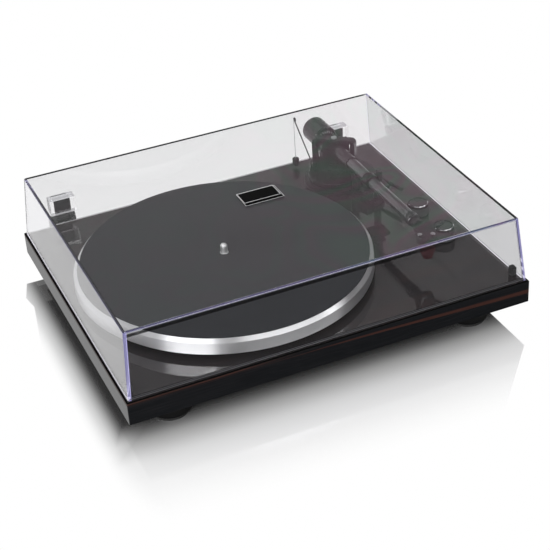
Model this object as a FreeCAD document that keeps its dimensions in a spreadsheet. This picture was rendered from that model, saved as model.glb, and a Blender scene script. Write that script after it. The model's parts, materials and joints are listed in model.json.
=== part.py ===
import FreeCAD, Part
import Sketcher
import math
import os
import re

# Belt-drive record player: X runs along the front, Y to the back, Z up.
# The origin is on the floor, at the middle of the outline seen from above.
# All positions are counted from the middle of the plinth; pieces on it are
# lifted by DECK and the whole is moved forward by half the rear overhang.

V = FreeCAD.Vector
UP = V(0, 0, 1)
doc = FreeCAD.newDocument("record_player")

SIZES = (
    # plinth and what closes it below
    ("left_margin", 11.6), ("right_margin", 108.4), ("front_margin", 9.2), ("back_margin", 30.8),
    ("plinth_height", 24), ("deck_thickness", 7),
    ("plinth_edge", 0.8), ("side_wall", 15), ("front_block", 48), ("back_block", 48),
    ("rear_wall", 12), ("channel_width", 250), ("rear_overhang", 10),
    ("board_thickness", 3), ("board_inset", 12), ("board_play", 0.3),
    # feet
    ("foot_height", 23), ("foot_radius", 20), ("foot_inset_x", 50), ("foot_inset_y", 34),
    ("foot_wall", 5), ("foot_web", 7), ("foot_edge", 1.5), ("sole_thickness", 2.5),
    ("foot_screw_radius", 2), ("foot_screw_grip", 11),
    # platter, mat, sub-platter and spindle
    ("platter_radius", 150), ("platter_gap", 7),
    ("rim_height", 12), ("rim_wall", 8), ("rim_chamfer", 3.5), ("platter_web", 3.5),
    ("mat_recess", 2), ("mat_thickness", 3), ("mat_inset", 4), ("mat_play", 0.2),
    ("sub_radius", 70), ("sub_rim", 6), ("sub_web", 3), ("sub_gap", 6),
    ("hub_radius", 9), ("boss_radius", 11), ("boss_height", 2),
    ("spindle_radius", 3.58), ("spindle_rise", 10), ("shaft_radius", 3), ("collar_radius", 4.4),
    # main bearing
    ("well_bottom", 13), ("well_floor", 2), ("well_radius", 10), ("well_bore", 6),
    ("flange_radius", 28), ("flange_thickness", 3), ("thrust_pad", 4), ("bush_length", 12), ("screw_radius", 1.5),
    ("running_play", 0.05), ("flange_screws_at", 21),
    # motor and belt
    ("motor_distance", 102), ("motor_angle", 150), ("motor_radius", 17), ("motor_length", 18),
    ("motor_plate_radius", 31), ("motor_plate", 1.5), ("grommet_height", 2), ("grommet_radius", 4.5),
    ("grommet_ring", 26), ("motor_shaft_radius", 1), ("pulley_radius", 6.25), ("pulley_lip", 1.6),
    ("belt_width", 5), ("belt_thickness", 1), ("belt_play", 0.2), ("belt_rise", 8),
    # dust cover
    ("cover_above_arm", 26.5), ("cover_gap", 0.6), ("cover_wall", 3), ("cover_foot_inset", 2.25),
    ("cover_side_inset", 8.1), ("cover_front_inset", 11.1), ("cover_rear_inset", 7),
    ("cover_edge", 2), ("badge_width", 40), ("badge_depth", 21), ("badge_thickness", 1.2),
    ("badge_y", 7), ("bumper_length", 6.6), ("bumper_width", 5), ("bumper_height", 9),
    ("bumper_inset", 19.1), ("bumper_gap", 0.3),
    # cover hinges
    ("hinge_inset", 46), ("hinge_width", 26), ("hinge_block", 10), ("hinge_drop", 18),
    ("pin_back", 5.5), ("pin_rise", 3), ("pin_radius", 1.5), ("ear_width", 5), ("knuckle_radius", 4),
    ("knuckle_play", 0.3), ("leaf_width", 18), ("leaf_thickness", 3), ("leaf_rise", 24),
    ("leaf_play", 0.2), ("socket_width", 28), ("socket_wall", 1.8), ("socket_start", 8.5),
    ("socket_top", 2.4),
    # tonearm carrier
    ("arm_from_right", 78.5), ("arm_from_back", 65), ("arm_height", 42), ("arm_board", 5.5),
    ("arm_board_radius", 34), ("arm_board_sector", 46.5), ("tongue_angle", 14.4),
    ("tongue_width", 17), ("tongue_length", 74), ("arm_hole", 9),
    ("pillar_collar", 30), ("pillar_collar_height", 6), ("pillar_radius", 18.6),
    ("pillar_gap", 3.3), ("pillar_groove", 1.8), ("pillar_tube", 8.5),
    ("pillar_nut_radius", 14), ("pillar_nut", 4),
    ("yoke_angle", 40), ("yoke_inner", 19), ("yoke_post", 5), ("yoke_depth", 10),
    ("yoke_gap", 0.4), ("yoke_bar", 3.4), ("yoke_round", 5),
    # gimbal and pivots
    ("ring_half", 16.5), ("ring_side", 3), ("ring_rise", 7.2), ("ring_band", 2.6),
    ("ring_depth", 8), ("pivot_radius", 1.2), ("swing_shaft_radius", 2.5), ("pivot_head", 2.6),
    ("block_play", 0.5), ("block_rise", 3.9),
    # tonearm
    ("neck_radius", 4.2), ("sleeve_start", 13), ("sleeve_end", 43), ("sleeve_radius", 7),
    ("tube_radius", 6.1), ("tube_wall", 1), ("arm_front_gap", 101), ("tail_radius", 4), ("tail_end", 51),
    ("band_start", 82), ("band_end", 93), ("band_radius", 7.6),
    ("weight_radius", 14), ("weight_start", 22), ("weight_end", 53), ("weight_chamfer", 1.5),
    ("dial_radius", 10.5), ("dial_start", 18), ("dial_end", 21.7), ("weight_bush_radius", 6),
    ("weight_bush_start", 14), ("bush_depth", 4),
    # headshell and cartridge
    ("nut_radius", 7), ("nut_length", 9), ("shell_neck_radius", 4.6), ("shell_turn", 31),
    ("offset_angle", 22), ("shell_back", 17), ("shell_front", 22), ("shell_width", 20),
    ("shell_drop", 1), ("shell_thickness", 3), ("screw_spacing", 12.7), ("screws_ahead", 12),
    ("slot_width", 3), ("slot_length", 9), ("shell_screw_head", 2.4),
    ("cartridge_width", 15), ("cartridge_length", 27), ("cartridge_height", 8.6),
    ("cartridge_front", 19), ("stylus_ahead", 17.5), ("stylus_clearance", 1.1),
    ("guard_width", 13), ("guard_drop", 8.6), ("guard_depth", 7),
    # cue lift, arm rest and anti-skate
    ("lift_distance", 37), ("lift_piston", 2), ("lift_housing_top", 22), ("lift_bar_depth", 4),
    ("lift_bar", 3), ("lift_bar_gap", 0.4), ("lift_sweep", 44), ("lever_offset", 16.5),
    ("lever_back", 49), ("lever_length", 42), ("lever_z", 19.5), ("lever_radius", 1.7),
    ("lever_grip", 2.5), ("rest_distance", 70), ("rest_post", 4), ("saddle_play", 0.3),
    ("wire_radius", 0.7), ("loop_left", 25.7), ("loop_behind", 46), ("loop_above", 20), ("loop_radius", 2),
    ("thread_radius", 0.3), ("skate_radius", 3.8), ("skate_height", 9), ("skate_bottom", 3.5),
    # knobs
    ("knob_inset", 33), ("knob_from_arm", 107.5), ("knob_spacing", 54.5), ("knob_radius", 11.4),
    ("knob_height", 13.2), ("knob_gap", 0.8), ("knob_bevel", 1.4), ("knob_shaft", 3),
    ("control_bush", 4.6), ("control_width", 20), ("control_height", 9),
    # sockets at the back and the circuit board
    ("panel_width", 142), ("panel_height", 11), ("panel_thickness", 2), ("panel_x", -20),
    ("jack_radius", 4.2), ("jack_bore", 1.7), ("jack_length", 9), ("jack_spacing", 16),
    ("pcb_width", 150), ("pcb_depth", 50), ("pcb_thickness", 1.6), ("pcb_drop", 5),
)

sheet = doc.addObject("Spreadsheet::Sheet", "size")
for row, (alias, value) in enumerate(SIZES, 1):
    sheet.set(f"A{row}", alias)
    sheet.set(f"B{row}", str(value))
    sheet.setAlias(f"B{row}", alias)
doc.recompute()

# Places and sizes that follow from the driving ones; "plan.name" in an expression
# stands for the line of that name.
PLAN = {
    "plinth_width": "2 * size.platter_radius + size.left_margin + size.right_margin",
    "plinth_depth": "2 * size.platter_radius + size.front_margin + size.back_margin",
    "platter_x": "-plan.plinth_width / 2 + size.left_margin + size.platter_radius",
    "platter_y": "-plan.plinth_depth / 2 + size.front_margin + size.platter_radius",
    "mat_radius": "size.platter_radius - size.mat_inset",
    "foot_x": "plan.plinth_width / 2 - size.foot_inset_x",
    "foot_y": "plan.plinth_depth / 2 - size.foot_inset_y",
    "hinge_x": "plan.plinth_width / 2 - size.hinge_inset",
    "cover_height": "size.arm_height + size.cover_above_arm",
    "bumper_y": "size.bumper_inset - plan.plinth_depth / 2",
    "arm_x": "plan.plinth_width / 2 - size.arm_from_right",
    "arm_y": "plan.plinth_depth / 2 - size.arm_from_back",
    "tube_end": "plan.arm_y + plan.plinth_depth / 2 - size.arm_front_gap",
    "shell_turn_at": "plan.tube_end + size.shell_turn",
    "shell_bottom": "size.arm_height - size.shell_drop",
    "mat_top": "size.platter_gap + size.rim_height + size.rim_chamfer - size.mat_recess"
               " + size.mat_thickness",
    "stylus_tip_z": "plan.mat_top + size.stylus_clearance",
    "yoke_bar_bottom": "size.arm_height + size.ring_rise + size.yoke_gap",
    "pillar_top": "size.arm_height - size.ring_rise - size.pillar_gap",
    "pillar_band": "(plan.pillar_top - size.arm_board - size.pillar_collar_height) / 3.85",
    "loop_x": "plan.arm_x - size.loop_left",
    "loop_y": "plan.arm_y + size.loop_behind",
    "loop_z": "size.arm_height + size.loop_above",
    "knob_x": "plan.plinth_width / 2 - size.knob_inset",
    "knob_back_y": "plan.arm_y - size.knob_from_arm",
    "knob_front_y": "plan.knob_back_y - size.knob_spacing",
}

DECK = "(size.foot_height + size.plinth_height)"
BACK = "plan.plinth_depth / 2"
FORWARD = "size.rear_overhang / 2"
ALONG = {"Z": FreeCAD.Rotation(), "X": FreeCAD.Rotation(V(0, 1, 0), 90),
         "Y": FreeCAD.Rotation(V(1, 0, 0), -90)}
pieces = {}


def full(expression):
    """Expression with every planned value written out over the sheet."""
    text = str(expression)
    while "plan." in text:
        text = re.sub(r"plan\.(\w+)", lambda found: f"({PLAN[found[1]]})", text)
    return text


def num(expression):
    """Value of an expression over the sheet."""
    return float(sheet.evalExpression(full(expression)))


# ---------------------------------------------------------------- building blocks

def seat(obj, x="0", y="0", z="0"):
    """Puts an object at a place given by three expressions."""
    for axis, expression in zip("xyz", (x, y, z)):
        obj.setExpression(f"Placement.Base.{axis}", full(expression))
    return obj


def box(length, width, height, x="0", y="0", z="0"):
    """Box from its low corner."""
    obj = doc.addObject("Part::Box", "box")
    for prop, expression in (("Length", length), ("Width", width), ("Height", height)):
        obj.setExpression(prop, full(expression))
    return seat(obj, x, y, z)


def slab(length, width, height, x="0", y="0", z="0"):
    """Box centred on x and y, standing on z."""
    return box(length, width, height, f"{x} - ({length}) / 2", f"{y} - ({width}) / 2", z)


def rod(radius, height, x="0", y="0", z="0", along="Z"):
    """Cylinder that starts at a point and runs along one axis."""
    obj = doc.addObject("Part::Cylinder", "rod")
    obj.Placement = FreeCAD.Placement(V(), ALONG[along])
    obj.setExpression("Radius", full(radius))
    obj.setExpression("Height", full(height))
    return seat(obj, x, y, z)


def group(parts):
    obj = doc.addObject("Part::Compound", "group")
    obj.Links = parts
    return obj


def cut(base, tools):
    obj = doc.addObject("Part::Cut", "cut")
    obj.Base = base
    obj.Tool = tools[0] if len(tools) == 1 else group(tools)
    return obj


def fuse(parts):
    obj = doc.addObject("Part::MultiFuse", "fuse")
    obj.Shapes = parts
    obj.Refine = True
    return obj


def common(first, second):
    obj = doc.addObject("Part::Common", "common")
    obj.Base = first
    obj.Tool = second
    return obj


def turned_about_z(obj, degrees):
    """Turns an object about the vertical through its own origin."""
    spin = FreeCAD.Rotation(UP, degrees)
    place = obj.Placement
    obj.Placement = FreeCAD.Placement(spin.multVec(place.Base), spin * place.Rotation)
    return obj


def outline(body, role, points, offset=None):
    """Closed sketch with straight sides through points given as expressions."""
    sketch = body.newObject("Sketcher::SketchObject", "outline")
    plane = [f for f in body.Origin.OriginFeatures if f.Role == role][0]
    sketch.AttachmentSupport = (plane, [""])
    sketch.MapMode = "FlatFace"
    if offset:
        sketch.setExpression("AttachmentOffset.Base.z", offset)
    places = [(num(u), num(v)) for u, v in points]
    count = len(points)
    for i in range(count):
        start, end = V(*places[i], 0), V(*places[(i + 1) % count], 0)
        sketch.addGeometry(Part.LineSegment(start, end), False)
    for i in range(count):
        sketch.addConstraint(Sketcher.Constraint("Coincident", i, 2, (i + 1) % count, 1))
    for i, (u, v) in enumerate(points):
        for kind, axis, expression, value in (("DistanceX", -2, u, places[i][0]),
                                              ("DistanceY", -1, v, places[i][1])):
            if str(expression) == "0":
                sketch.addConstraint(Sketcher.Constraint("PointOnObject", i, 1, axis))
                continue
            index = sketch.addConstraint(Sketcher.Constraint(kind, -1, 1, i, 1, value))
            sketch.setExpression(f"Constraints[{index}]", full(expression))
    return sketch


def turned(profile):
    """Body turned about Z from a profile of (radius, height) expressions."""
    body = doc.addObject("PartDesign::Body", "turned")
    sketch = outline(body, "XZ_Plane", profile)
    feature = body.newObject("PartDesign::Revolution", "turn")
    feature.Profile = sketch
    feature.ReferenceAxis = (sketch, ["V_Axis"])
    feature.Angle = 360
    body.Tip = feature
    return body


def padded(points, length, role="XY_Plane", middle=False):
    """Body padded from a closed outline."""
    body = doc.addObject("PartDesign::Body", "padded")
    feature = body.newObject("PartDesign::Pad", "pad")
    feature.Profile = outline(body, role, points)
    feature.setExpression("Length", full(length))
    feature.Midplane = middle
    body.Tip = feature
    return body


def rectangle(x0, x1, y0, y1):
    return ((x0, y0), (x1, y0), (x1, y1), (x0, y1))


def rounded(body, radius, wanted):
    """Fillets the edges of a body's tip that the test picks."""
    doc.recompute()
    base = body.Tip
    names = [f"Edge{i}" for i, e in enumerate(base.Shape.Edges, 1) if wanted(e)]
    feature = body.newObject("PartDesign::Fillet", "round")
    feature.Base = (base, names)
    feature.setExpression("Radius", full(radius))
    body.Tip = feature
    return body


def is_vertical(edge):
    if len(edge.Vertexes) != 2:
        return False
    run = edge.Vertexes[1].Point - edge.Vertexes[0].Point
    return abs(run.z) > 0.9 * run.Length


def turned_along_y(profile):
    """Like turned, with the profile's heights running towards the back (+Y)."""
    body = turned(profile)
    body.Placement = FreeCAD.Placement(V(), ALONG["Y"])
    return body


def piece(label, obj, x="0", y="0", z="0", turn=0):
    """Names a sub-part and seats it, with x and y from the plinth's middle."""
    obj.Label = label
    if turn:
        turned_about_z(obj, turn)
    seat(obj, x, f"{y} - {FORWARD}", z)
    pieces[label] = obj
    return obj


def about_arm(distance, side=0):
    """Deck place at a distance along the tongue from the tonearm's pivot."""
    angle = math.radians(num("size.tongue_angle"))
    x = f"plan.arm_x + ({distance}) * {math.sin(angle)} + ({side}) * {math.cos(angle)}"
    y = f"plan.arm_y - ({distance}) * {math.cos(angle)} + ({side}) * {math.sin(angle)}"
    return x, y


# ---------------------------------------------------------------- plinth, feet, base board

def make_plinth():
    half_w, half_d = "plan.plinth_width / 2", "plan.plinth_depth / 2"
    blank = padded(rectangle(f"-{half_w}", half_w, f"-{half_d}", half_d), "size.plinth_height")
    rounded(blank, "size.plinth_edge", lambda e: is_vertical(e)
            or e.BoundBox.ZMin > num("size.plinth_height") - 0.01)
    hollow = "size.plinth_height - size.deck_thickness"
    motor_x, motor_y = motor_place()
    deep = "size.plinth_height + 2"
    tools = [
        box("plan.plinth_width - 2 * size.board_inset", "plan.plinth_depth - 2 * size.board_inset",
            "size.board_thickness + 1", "-plan.plinth_width / 2 + size.board_inset",
            "-plan.plinth_depth / 2 + size.board_inset", "-1"),
        box("plan.plinth_width - 2 * size.side_wall",
            "plan.plinth_depth - size.front_block - size.back_block", f"{hollow} + 1",
            "-plan.plinth_width / 2 + size.side_wall", "-plan.plinth_depth / 2 + size.front_block",
            "-1"),
        box("size.channel_width", "size.back_block - size.rear_wall + 5", f"{hollow} + 1",
            "-size.channel_width / 2", f"{BACK} - size.back_block - 5", "-1"),
        box("size.panel_width", "size.rear_wall + 2", "size.panel_height",
            "size.panel_x - size.panel_width / 2", f"{BACK} - size.rear_wall - 1",
            "size.board_thickness + 1.5"),
        rod("size.well_radius", deep, "plan.platter_x", "plan.platter_y", "-1"),
        rod("size.motor_radius + 3", deep, motor_x, motor_y, "-1"),
        rod("size.arm_hole", deep, "plan.arm_x", "plan.arm_y", "-1"),
    ]
    for y in ("plan.knob_back_y", "plan.knob_front_y"):
        tools.append(rod("size.control_bush", deep, "plan.knob_x", y, "-1"))
    for x, y in corners("plan.foot_x", "plan.foot_y"):
        tools.append(rod("size.foot_screw_radius", "size.foot_screw_grip + 1", x, y, "-1"))
    screw_spots = around("plan.platter_x", "plan.platter_y", "size.flange_screws_at", 3)
    for x, y in screw_spots + around(motor_x, motor_y, "size.grommet_ring", 3):
        tools.append(rod("size.screw_radius", 6, x, y, "size.plinth_height - 5"))
    piece("plinth", cut(blank, tools), z="size.foot_height")


def corners(x, y):
    return [(f"{sx} * {x}", f"{sy} * {y}") for sx in (-1, 1) for sy in (-1, 1)]


def around(x, y, radius, count, start=90):
    """Places spaced evenly on a circle, as expressions."""
    places = []
    for i in range(count):
        angle = math.radians(start + 360 * i / count)
        places.append((f"{x} + {radius} * {math.cos(angle)}", f"{y} + {radius} * {math.sin(angle)}"))
    return places


def motor_place():
    angle = math.radians(num("size.motor_angle"))
    return (f"plan.platter_x + size.motor_distance * {math.cos(angle)}",
            f"plan.platter_y + size.motor_distance * {math.sin(angle)}")


def make_base_board():
    length = "(plan.plinth_width - 2 * size.board_inset - 2 * size.board_play)"
    width = "(plan.plinth_depth - 2 * size.board_inset - 2 * size.board_play)"
    holes = [rod("size.well_radius + 1.5", 20, "plan.platter_x", "plan.platter_y", "-5")]
    for x, y in corners("plan.foot_x", "plan.foot_y"):
        holes.append(rod("size.foot_screw_radius", 20, x, y, "-5"))
    piece("base_board", cut(slab(length, width, "size.board_thickness"), holes),
          z="size.foot_height")


def make_feet():
    foot = "size.foot_height"
    profile = (("size.foot_screw_radius", foot), ("size.foot_radius - size.foot_edge", foot),
               ("size.foot_radius", f"{foot} - size.foot_edge"),
               ("size.foot_radius", "size.sole_thickness + size.foot_edge"),
               ("size.foot_radius - size.foot_edge", "size.sole_thickness"),
               ("size.foot_radius - size.foot_wall", "size.sole_thickness"),
               ("size.foot_radius - size.foot_wall", f"{foot} - size.foot_web"),
               ("size.foot_screw_radius", f"{foot} - size.foot_web"))
    feet, soles, screws = [], [], []
    for x, y in corners("plan.foot_x", "plan.foot_y"):
        feet.append(seat(turned(profile), x, y))
        soles.append(rod("size.foot_radius - size.foot_edge - 0.5", "size.sole_thickness", x, y))
        head = rod("2 * size.foot_screw_radius", 2.5, x, y, f"{foot} - size.foot_web - 2.5")
        shank = rod("size.foot_screw_radius", "size.foot_web + size.foot_screw_grip - 0.5", x, y,
                    f"{foot} - size.foot_web")
        screws.append(fuse([head, shank]))
    piece("feet", group(feet))
    piece("foot_soles", group(soles))
    piece("foot_screws", group(screws))


# ---------------------------------------------------------------- bearing, platter

def make_bearing():
    top = f"({DECK} - size.well_bottom)"
    bore = "size.shaft_radius + size.running_play"
    floor = "(size.well_floor + size.thrust_pad)"
    housing = turned((
        ("0", "0"), ("size.well_radius", "0"), ("size.well_radius", top),
        ("size.flange_radius", top), ("size.flange_radius", f"{top} + size.flange_thickness"),
        (bore, f"{top} + size.flange_thickness"), (bore, f"{top} - size.bush_length"),
        ("size.well_bore", f"{top} - size.bush_length"), ("size.well_bore", floor), ("0", floor)))
    holes = [rod("size.screw_radius", 20, x, y, f"{top} - 5")
             for x, y in around("0", "0", "size.flange_screws_at", 3)]
    piece("bearing_housing", cut(housing, holes), "plan.platter_x", "plan.platter_y",
          "size.well_bottom")


def deck_screw(x, y, grip):
    """Screw that goes 5 mm into the deck, its head resting a grip above it."""
    return fuse([rod("size.screw_radius", f"5 + {grip}", x, y, "-5"),
                 rod("2 * size.screw_radius", 1.5, x, y, grip)])


def make_deck_screws():
    screws = [deck_screw(x, y, "size.flange_thickness") for x, y
              in around("plan.platter_x", "plan.platter_y", "size.flange_screws_at", 3)]
    x, y = motor_place()
    screws += [deck_screw(gx, gy, "size.grommet_height + size.motor_plate") for gx, gy
               in around(x, y, "size.grommet_ring", 3)]
    piece("deck_screws", group(screws), z=DECK)


def make_platter():
    at = {"x": "plan.platter_x", "y": "plan.platter_y"}
    rim_in = "size.platter_radius - size.rim_wall"
    lip = "size.platter_radius - size.rim_chamfer"
    lip_z = "size.rim_height + size.rim_chamfer"
    floor_z = f"{lip_z} - size.mat_recess"
    under_z = f"{floor_z} - size.platter_web"
    recess = "plan.mat_radius + size.mat_play"
    hole = "size.boss_radius + size.mat_play"
    platter = turned((
        (hole, under_z), (rim_in, under_z), (rim_in, "0"), ("size.platter_radius", "0"),
        ("size.platter_radius", "size.rim_height"), (lip, lip_z), (recess, lip_z),
        (recess, floor_z), (hole, floor_z)))
    piece("platter", platter, z=f"{DECK} + size.platter_gap", **at)
    mat_z = f"{DECK} + size.platter_gap + {floor_z}"
    mat_bore = "size.collar_radius + size.mat_play"
    mat = turned(((mat_bore, "0"), ("plan.mat_radius", "0"),
                  ("plan.mat_radius", "size.mat_thickness"), (mat_bore, "size.mat_thickness")))
    piece("slipmat", mat, z=mat_z, **at)
    sub_height = f"(size.platter_gap + {under_z} - size.sub_gap)"
    rim = "size.sub_radius - size.sub_rim"
    boss_top = f"{sub_height} + size.boss_height"
    sub = turned((
        ("size.collar_radius", "0"), ("size.hub_radius", "0"),
        ("size.hub_radius", f"{sub_height} - size.sub_web"), (rim, f"{sub_height} - size.sub_web"),
        (rim, "0"), ("size.sub_radius", "0"), ("size.sub_radius", sub_height),
        ("size.boss_radius", sub_height), ("size.boss_radius", boss_top),
        ("size.collar_radius", boss_top)))
    piece("sub_platter", sub, z=f"{DECK} + size.sub_gap", **at)
    bottom = "(size.well_bottom + size.well_floor + size.thrust_pad + size.running_play)"
    collar_z = f"({DECK} + size.sub_gap - {bottom})"
    shoulder_z = f"({DECK} + plan.mat_top - 0.1 - {bottom})"
    top_z = f"({shoulder_z} + 0.1 + size.spindle_rise)"
    spindle = turned((
        ("0", "0"), ("size.shaft_radius - 1.2", "0"), ("size.shaft_radius", "1.2"),
        ("size.shaft_radius", collar_z),
        ("size.collar_radius", collar_z), ("size.collar_radius", shoulder_z),
        ("size.spindle_radius", shoulder_z), ("size.spindle_radius", f"{top_z} - 2.2"),
        ("size.spindle_radius * 0.72", f"{top_z} - 0.7"), ("size.spindle_radius * 0.3", top_z),
        ("0", top_z)))
    piece("spindle", spindle, z=bottom, **at)


# ---------------------------------------------------------------- motor and belt

def make_motor():
    x, y = motor_place()
    plate_z = f"{DECK} + size.grommet_height"
    motor = fuse([rod("size.motor_radius", "size.motor_length", z="-size.motor_length"),
                  rod("3.5 * size.motor_shaft_radius", "size.motor_plate + 0.8")])
    shaft_hole = rod("size.motor_shaft_radius + size.running_play", 40, z="-size.motor_length + 3")
    piece("motor", cut(motor, [shaft_hole]), x, y, plate_z)
    plate_holes = [rod("3.5 * size.motor_shaft_radius", 10, z="-5")]
    grommets = []
    for gx, gy in around("0", "0", "size.grommet_ring", 3):
        plate_holes.append(rod("size.screw_radius", 10, gx, gy, "-5"))
        grommets.append(cut(rod("size.grommet_radius", "size.grommet_height", gx, gy),
                            [rod("size.screw_radius", 10, gx, gy, "-5")]))
    piece("motor_plate", cut(rod("size.motor_plate_radius", "size.motor_plate"), plate_holes),
          x, y, plate_z)
    piece("motor_grommets", group(grommets), x, y, DECK)
    bottom = "size.belt_rise - 2.6"
    top = "(2.6 + size.belt_width + 1.4)"
    shaft = "size.motor_shaft_radius"
    shaft_low = f"(size.grommet_height - size.motor_length + 4 - ({bottom}))"
    pulley = turned((
        ("0", shaft_low), (shaft, shaft_low), (shaft, "0"),
        ("size.pulley_radius + size.pulley_lip", "0"), ("size.pulley_radius + size.pulley_lip", "1"),
        ("size.pulley_radius", "1.8"), ("size.pulley_radius", f"{top} - 0.8"),
        ("size.pulley_radius + size.pulley_lip", top), ("0", top)))
    piece("motor_pulley", pulley, x, y, f"{DECK} + {bottom}")


def belt_face(x, y, big, small):
    """Outline around two wheels, the big one at the origin: two arcs, two straight runs."""
    run = math.hypot(x, y)
    bearing = math.atan2(y, x)
    lean = math.acos((big - small) / run)

    def point(cx, cy, radius, angle):
        return V(cx + radius * math.cos(angle), cy + radius * math.sin(angle), 0)

    high, low = bearing + lean, bearing - lean
    big_high, big_low = point(0, 0, big, high), point(0, 0, big, low)
    small_high, small_low = point(x, y, small, high), point(x, y, small, low)
    wire = Part.Wire([
        Part.Arc(big_high, point(0, 0, big, bearing + math.pi), big_low).toShape(),
        Part.LineSegment(big_low, small_low).toShape(),
        Part.Arc(small_low, point(x, y, small, bearing), small_high).toShape(),
        Part.LineSegment(small_high, big_high).toShape()])
    return Part.Face(wire)


def make_belt():
    angle = math.radians(num("size.motor_angle"))
    x, y = (num("size.motor_distance") * f for f in (math.cos(angle), math.sin(angle)))
    inner = (num("size.sub_radius + size.belt_play"), num("size.pulley_radius + size.belt_play"))
    outer = [radius + num("size.belt_thickness") for radius in inner]
    width = V(0, 0, num("size.belt_width"))
    belt = doc.addObject("Part::Feature", "belt")
    belt.Shape = belt_face(x, y, *outer).extrude(width).cut(belt_face(x, y, *inner).extrude(width))
    piece("drive_belt", belt, "plan.platter_x", "plan.platter_y", f"{DECK} + size.belt_rise")


# ---------------------------------------------------------------- dust cover and hinges

def hood_place(wall, share):
    """Sides of the hood's plan at a share of its height, moved in by a wall."""
    inset = "size.cover_foot_inset"
    side, front, rear = (f"({inset} + ({share}) * (size.cover_{name}_inset - {inset}) + {wall})"
                         for name in ("side", "front", "rear"))
    return {"min": f"-plan.plinth_width / 2 + {side}", "max": f"plan.plinth_width / 2 - {side}",
            "front": f"-plan.plinth_depth / 2 + {front}", "rear": f"plan.plinth_depth / 2 - {rear}"}


def hood(low, high, bottom, top):
    """Tapered block from a low plan to a high one, drawn lying on its back."""
    body = doc.addObject("PartDesign::Body", "hood")
    wedge = body.newObject("PartDesign::AdditiveWedge", "taper")
    for prop, expression in (
            ("Xmin", low["min"]), ("Xmax", low["max"]), ("X2min", high["min"]), ("X2max", high["max"]),
            ("Zmin", f"-({low['rear']})"), ("Zmax", f"-({low['front']})"),
            ("Z2min", f"-({high['rear']})"), ("Z2max", f"-({high['front']})"),
            ("Ymin", bottom), ("Ymax", top)):
        wedge.setExpression(prop, full(expression))
    body.Tip = wedge
    body.Placement = FreeCAD.Placement(V(), FreeCAD.Rotation(V(1, 0, 0), 90))
    return body


def outer_hood():
    body = hood(hood_place("0", "0"), hood_place("0", "1"), "size.cover_gap", "plan.cover_height")
    bottom = num("size.cover_gap") + 0.01
    return rounded(body, "size.cover_edge", lambda e: e.BoundBox.YMax > bottom)


def make_cover():
    share = "((plan.cover_height - size.cover_wall) / plan.cover_height)"
    inner = hood(hood_place("size.cover_wall", "-0.01"), hood_place("size.cover_wall", share),
                 "size.cover_gap - 0.01 * plan.cover_height", "plan.cover_height - size.cover_wall")
    pockets, slots = [], []
    for side in (-1, 1):
        shell, slot = hinge_pocket()
        for holder, obj in ((pockets, shell), (slots, slot)):
            moved = group([obj])
            holder.append(at_hinge(moved, side))
    shell = fuse([outer_hood()] + pockets)
    piece("dust_cover", cut(shell, [inner] + slots), z=DECK)
    badge = padded(rectangle("-size.badge_width / 2", "size.badge_width / 2",
                             "-size.badge_depth / 2", "size.badge_depth / 2"),
                   "size.badge_thickness")
    rounded(badge, 1.2, is_vertical)
    piece("badge_plate", badge, "0", "size.badge_y", f"{DECK} + plan.cover_height")
    bumpers = []
    for side in (-1, 1):
        # the wall leans in, so each bumper keeps its top clear of it
        x = (f"{side} * (plan.plinth_width / 2 - size.cover_foot_inset - size.cover_wall"
             f" - size.bumper_width / 2 - 0.9)")
        bumpers.append(slab("size.bumper_width", "size.bumper_length", "size.bumper_height", x,
                            "plan.bumper_y", "size.bumper_gap"))
    piece("cover_bumpers", group(bumpers), z=DECK)


def hinge_bracket():
    """Block on the rear face with two round-topped ears around the knuckle."""
    low = "(size.knuckle_radius + size.knuckle_play)"
    gap = "(size.hinge_width - 2 * size.ear_width)"
    block = box("size.hinge_width", "size.hinge_block", "size.hinge_drop", "-size.hinge_width / 2",
                "-size.pin_back", "-size.hinge_drop")
    eye = rod("size.hinge_block - size.pin_back", "size.hinge_width", "-size.hinge_width / 2", along="X")
    opening = box(gap, "3 * size.hinge_block", f"2 * {low} + 9", f"-{gap} / 2",
                  "-1.5 * size.hinge_block", f"-{low}")
    hole = rod("size.pin_radius", "size.hinge_width + 2", "-size.hinge_width / 2 - 1", along="X")
    return cut(fuse([block, eye]), [opening, hole])


def hinge_leaf():
    """Knuckle on the pin and a flat tongue that stands in the cover's pocket."""
    width = "(size.hinge_width - 2 * size.ear_width - 2 * size.knuckle_play)"
    tongue_z = "(size.knuckle_radius + 0.8)"
    tongue = box("size.leaf_width", "size.leaf_thickness", f"size.leaf_rise - {tongue_z}",
                 "-size.leaf_width / 2", "-size.leaf_thickness / 2", tongue_z)
    stem = box(width, "size.leaf_thickness", "size.leaf_rise", f"-{width} / 2",
               "-size.leaf_thickness / 2", "0")
    knuckle = rod("size.knuckle_radius", width, f"-{width} / 2", along="X")
    bore = rod("size.pin_radius + size.running_play", width, f"-{width} / 2", along="X")
    return cut(fuse([tongue, stem, knuckle]), [bore])


def hinge_pocket():
    """Block of the cover's rear wall that drops over a hinge leaf, and its slot."""
    out = "(size.leaf_thickness / 2 + size.leaf_play + size.socket_wall)"
    reach = "(size.pin_back + size.cover_rear_inset + 1)"
    height = "(size.leaf_rise + size.leaf_play + size.socket_top - size.socket_start)"
    shell = box("size.socket_width", f"{out} + {reach}", height, "-size.socket_width / 2",
                f"-{reach}", "size.socket_start")
    slot = box("size.leaf_width + 2 * size.leaf_play", "size.leaf_thickness + 2 * size.leaf_play",
               "size.leaf_rise + size.leaf_play - size.socket_start + 1",
               "-size.leaf_width / 2 - size.leaf_play", "-size.leaf_thickness / 2 - size.leaf_play",
               "size.socket_start - 1")
    return shell, slot


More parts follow.
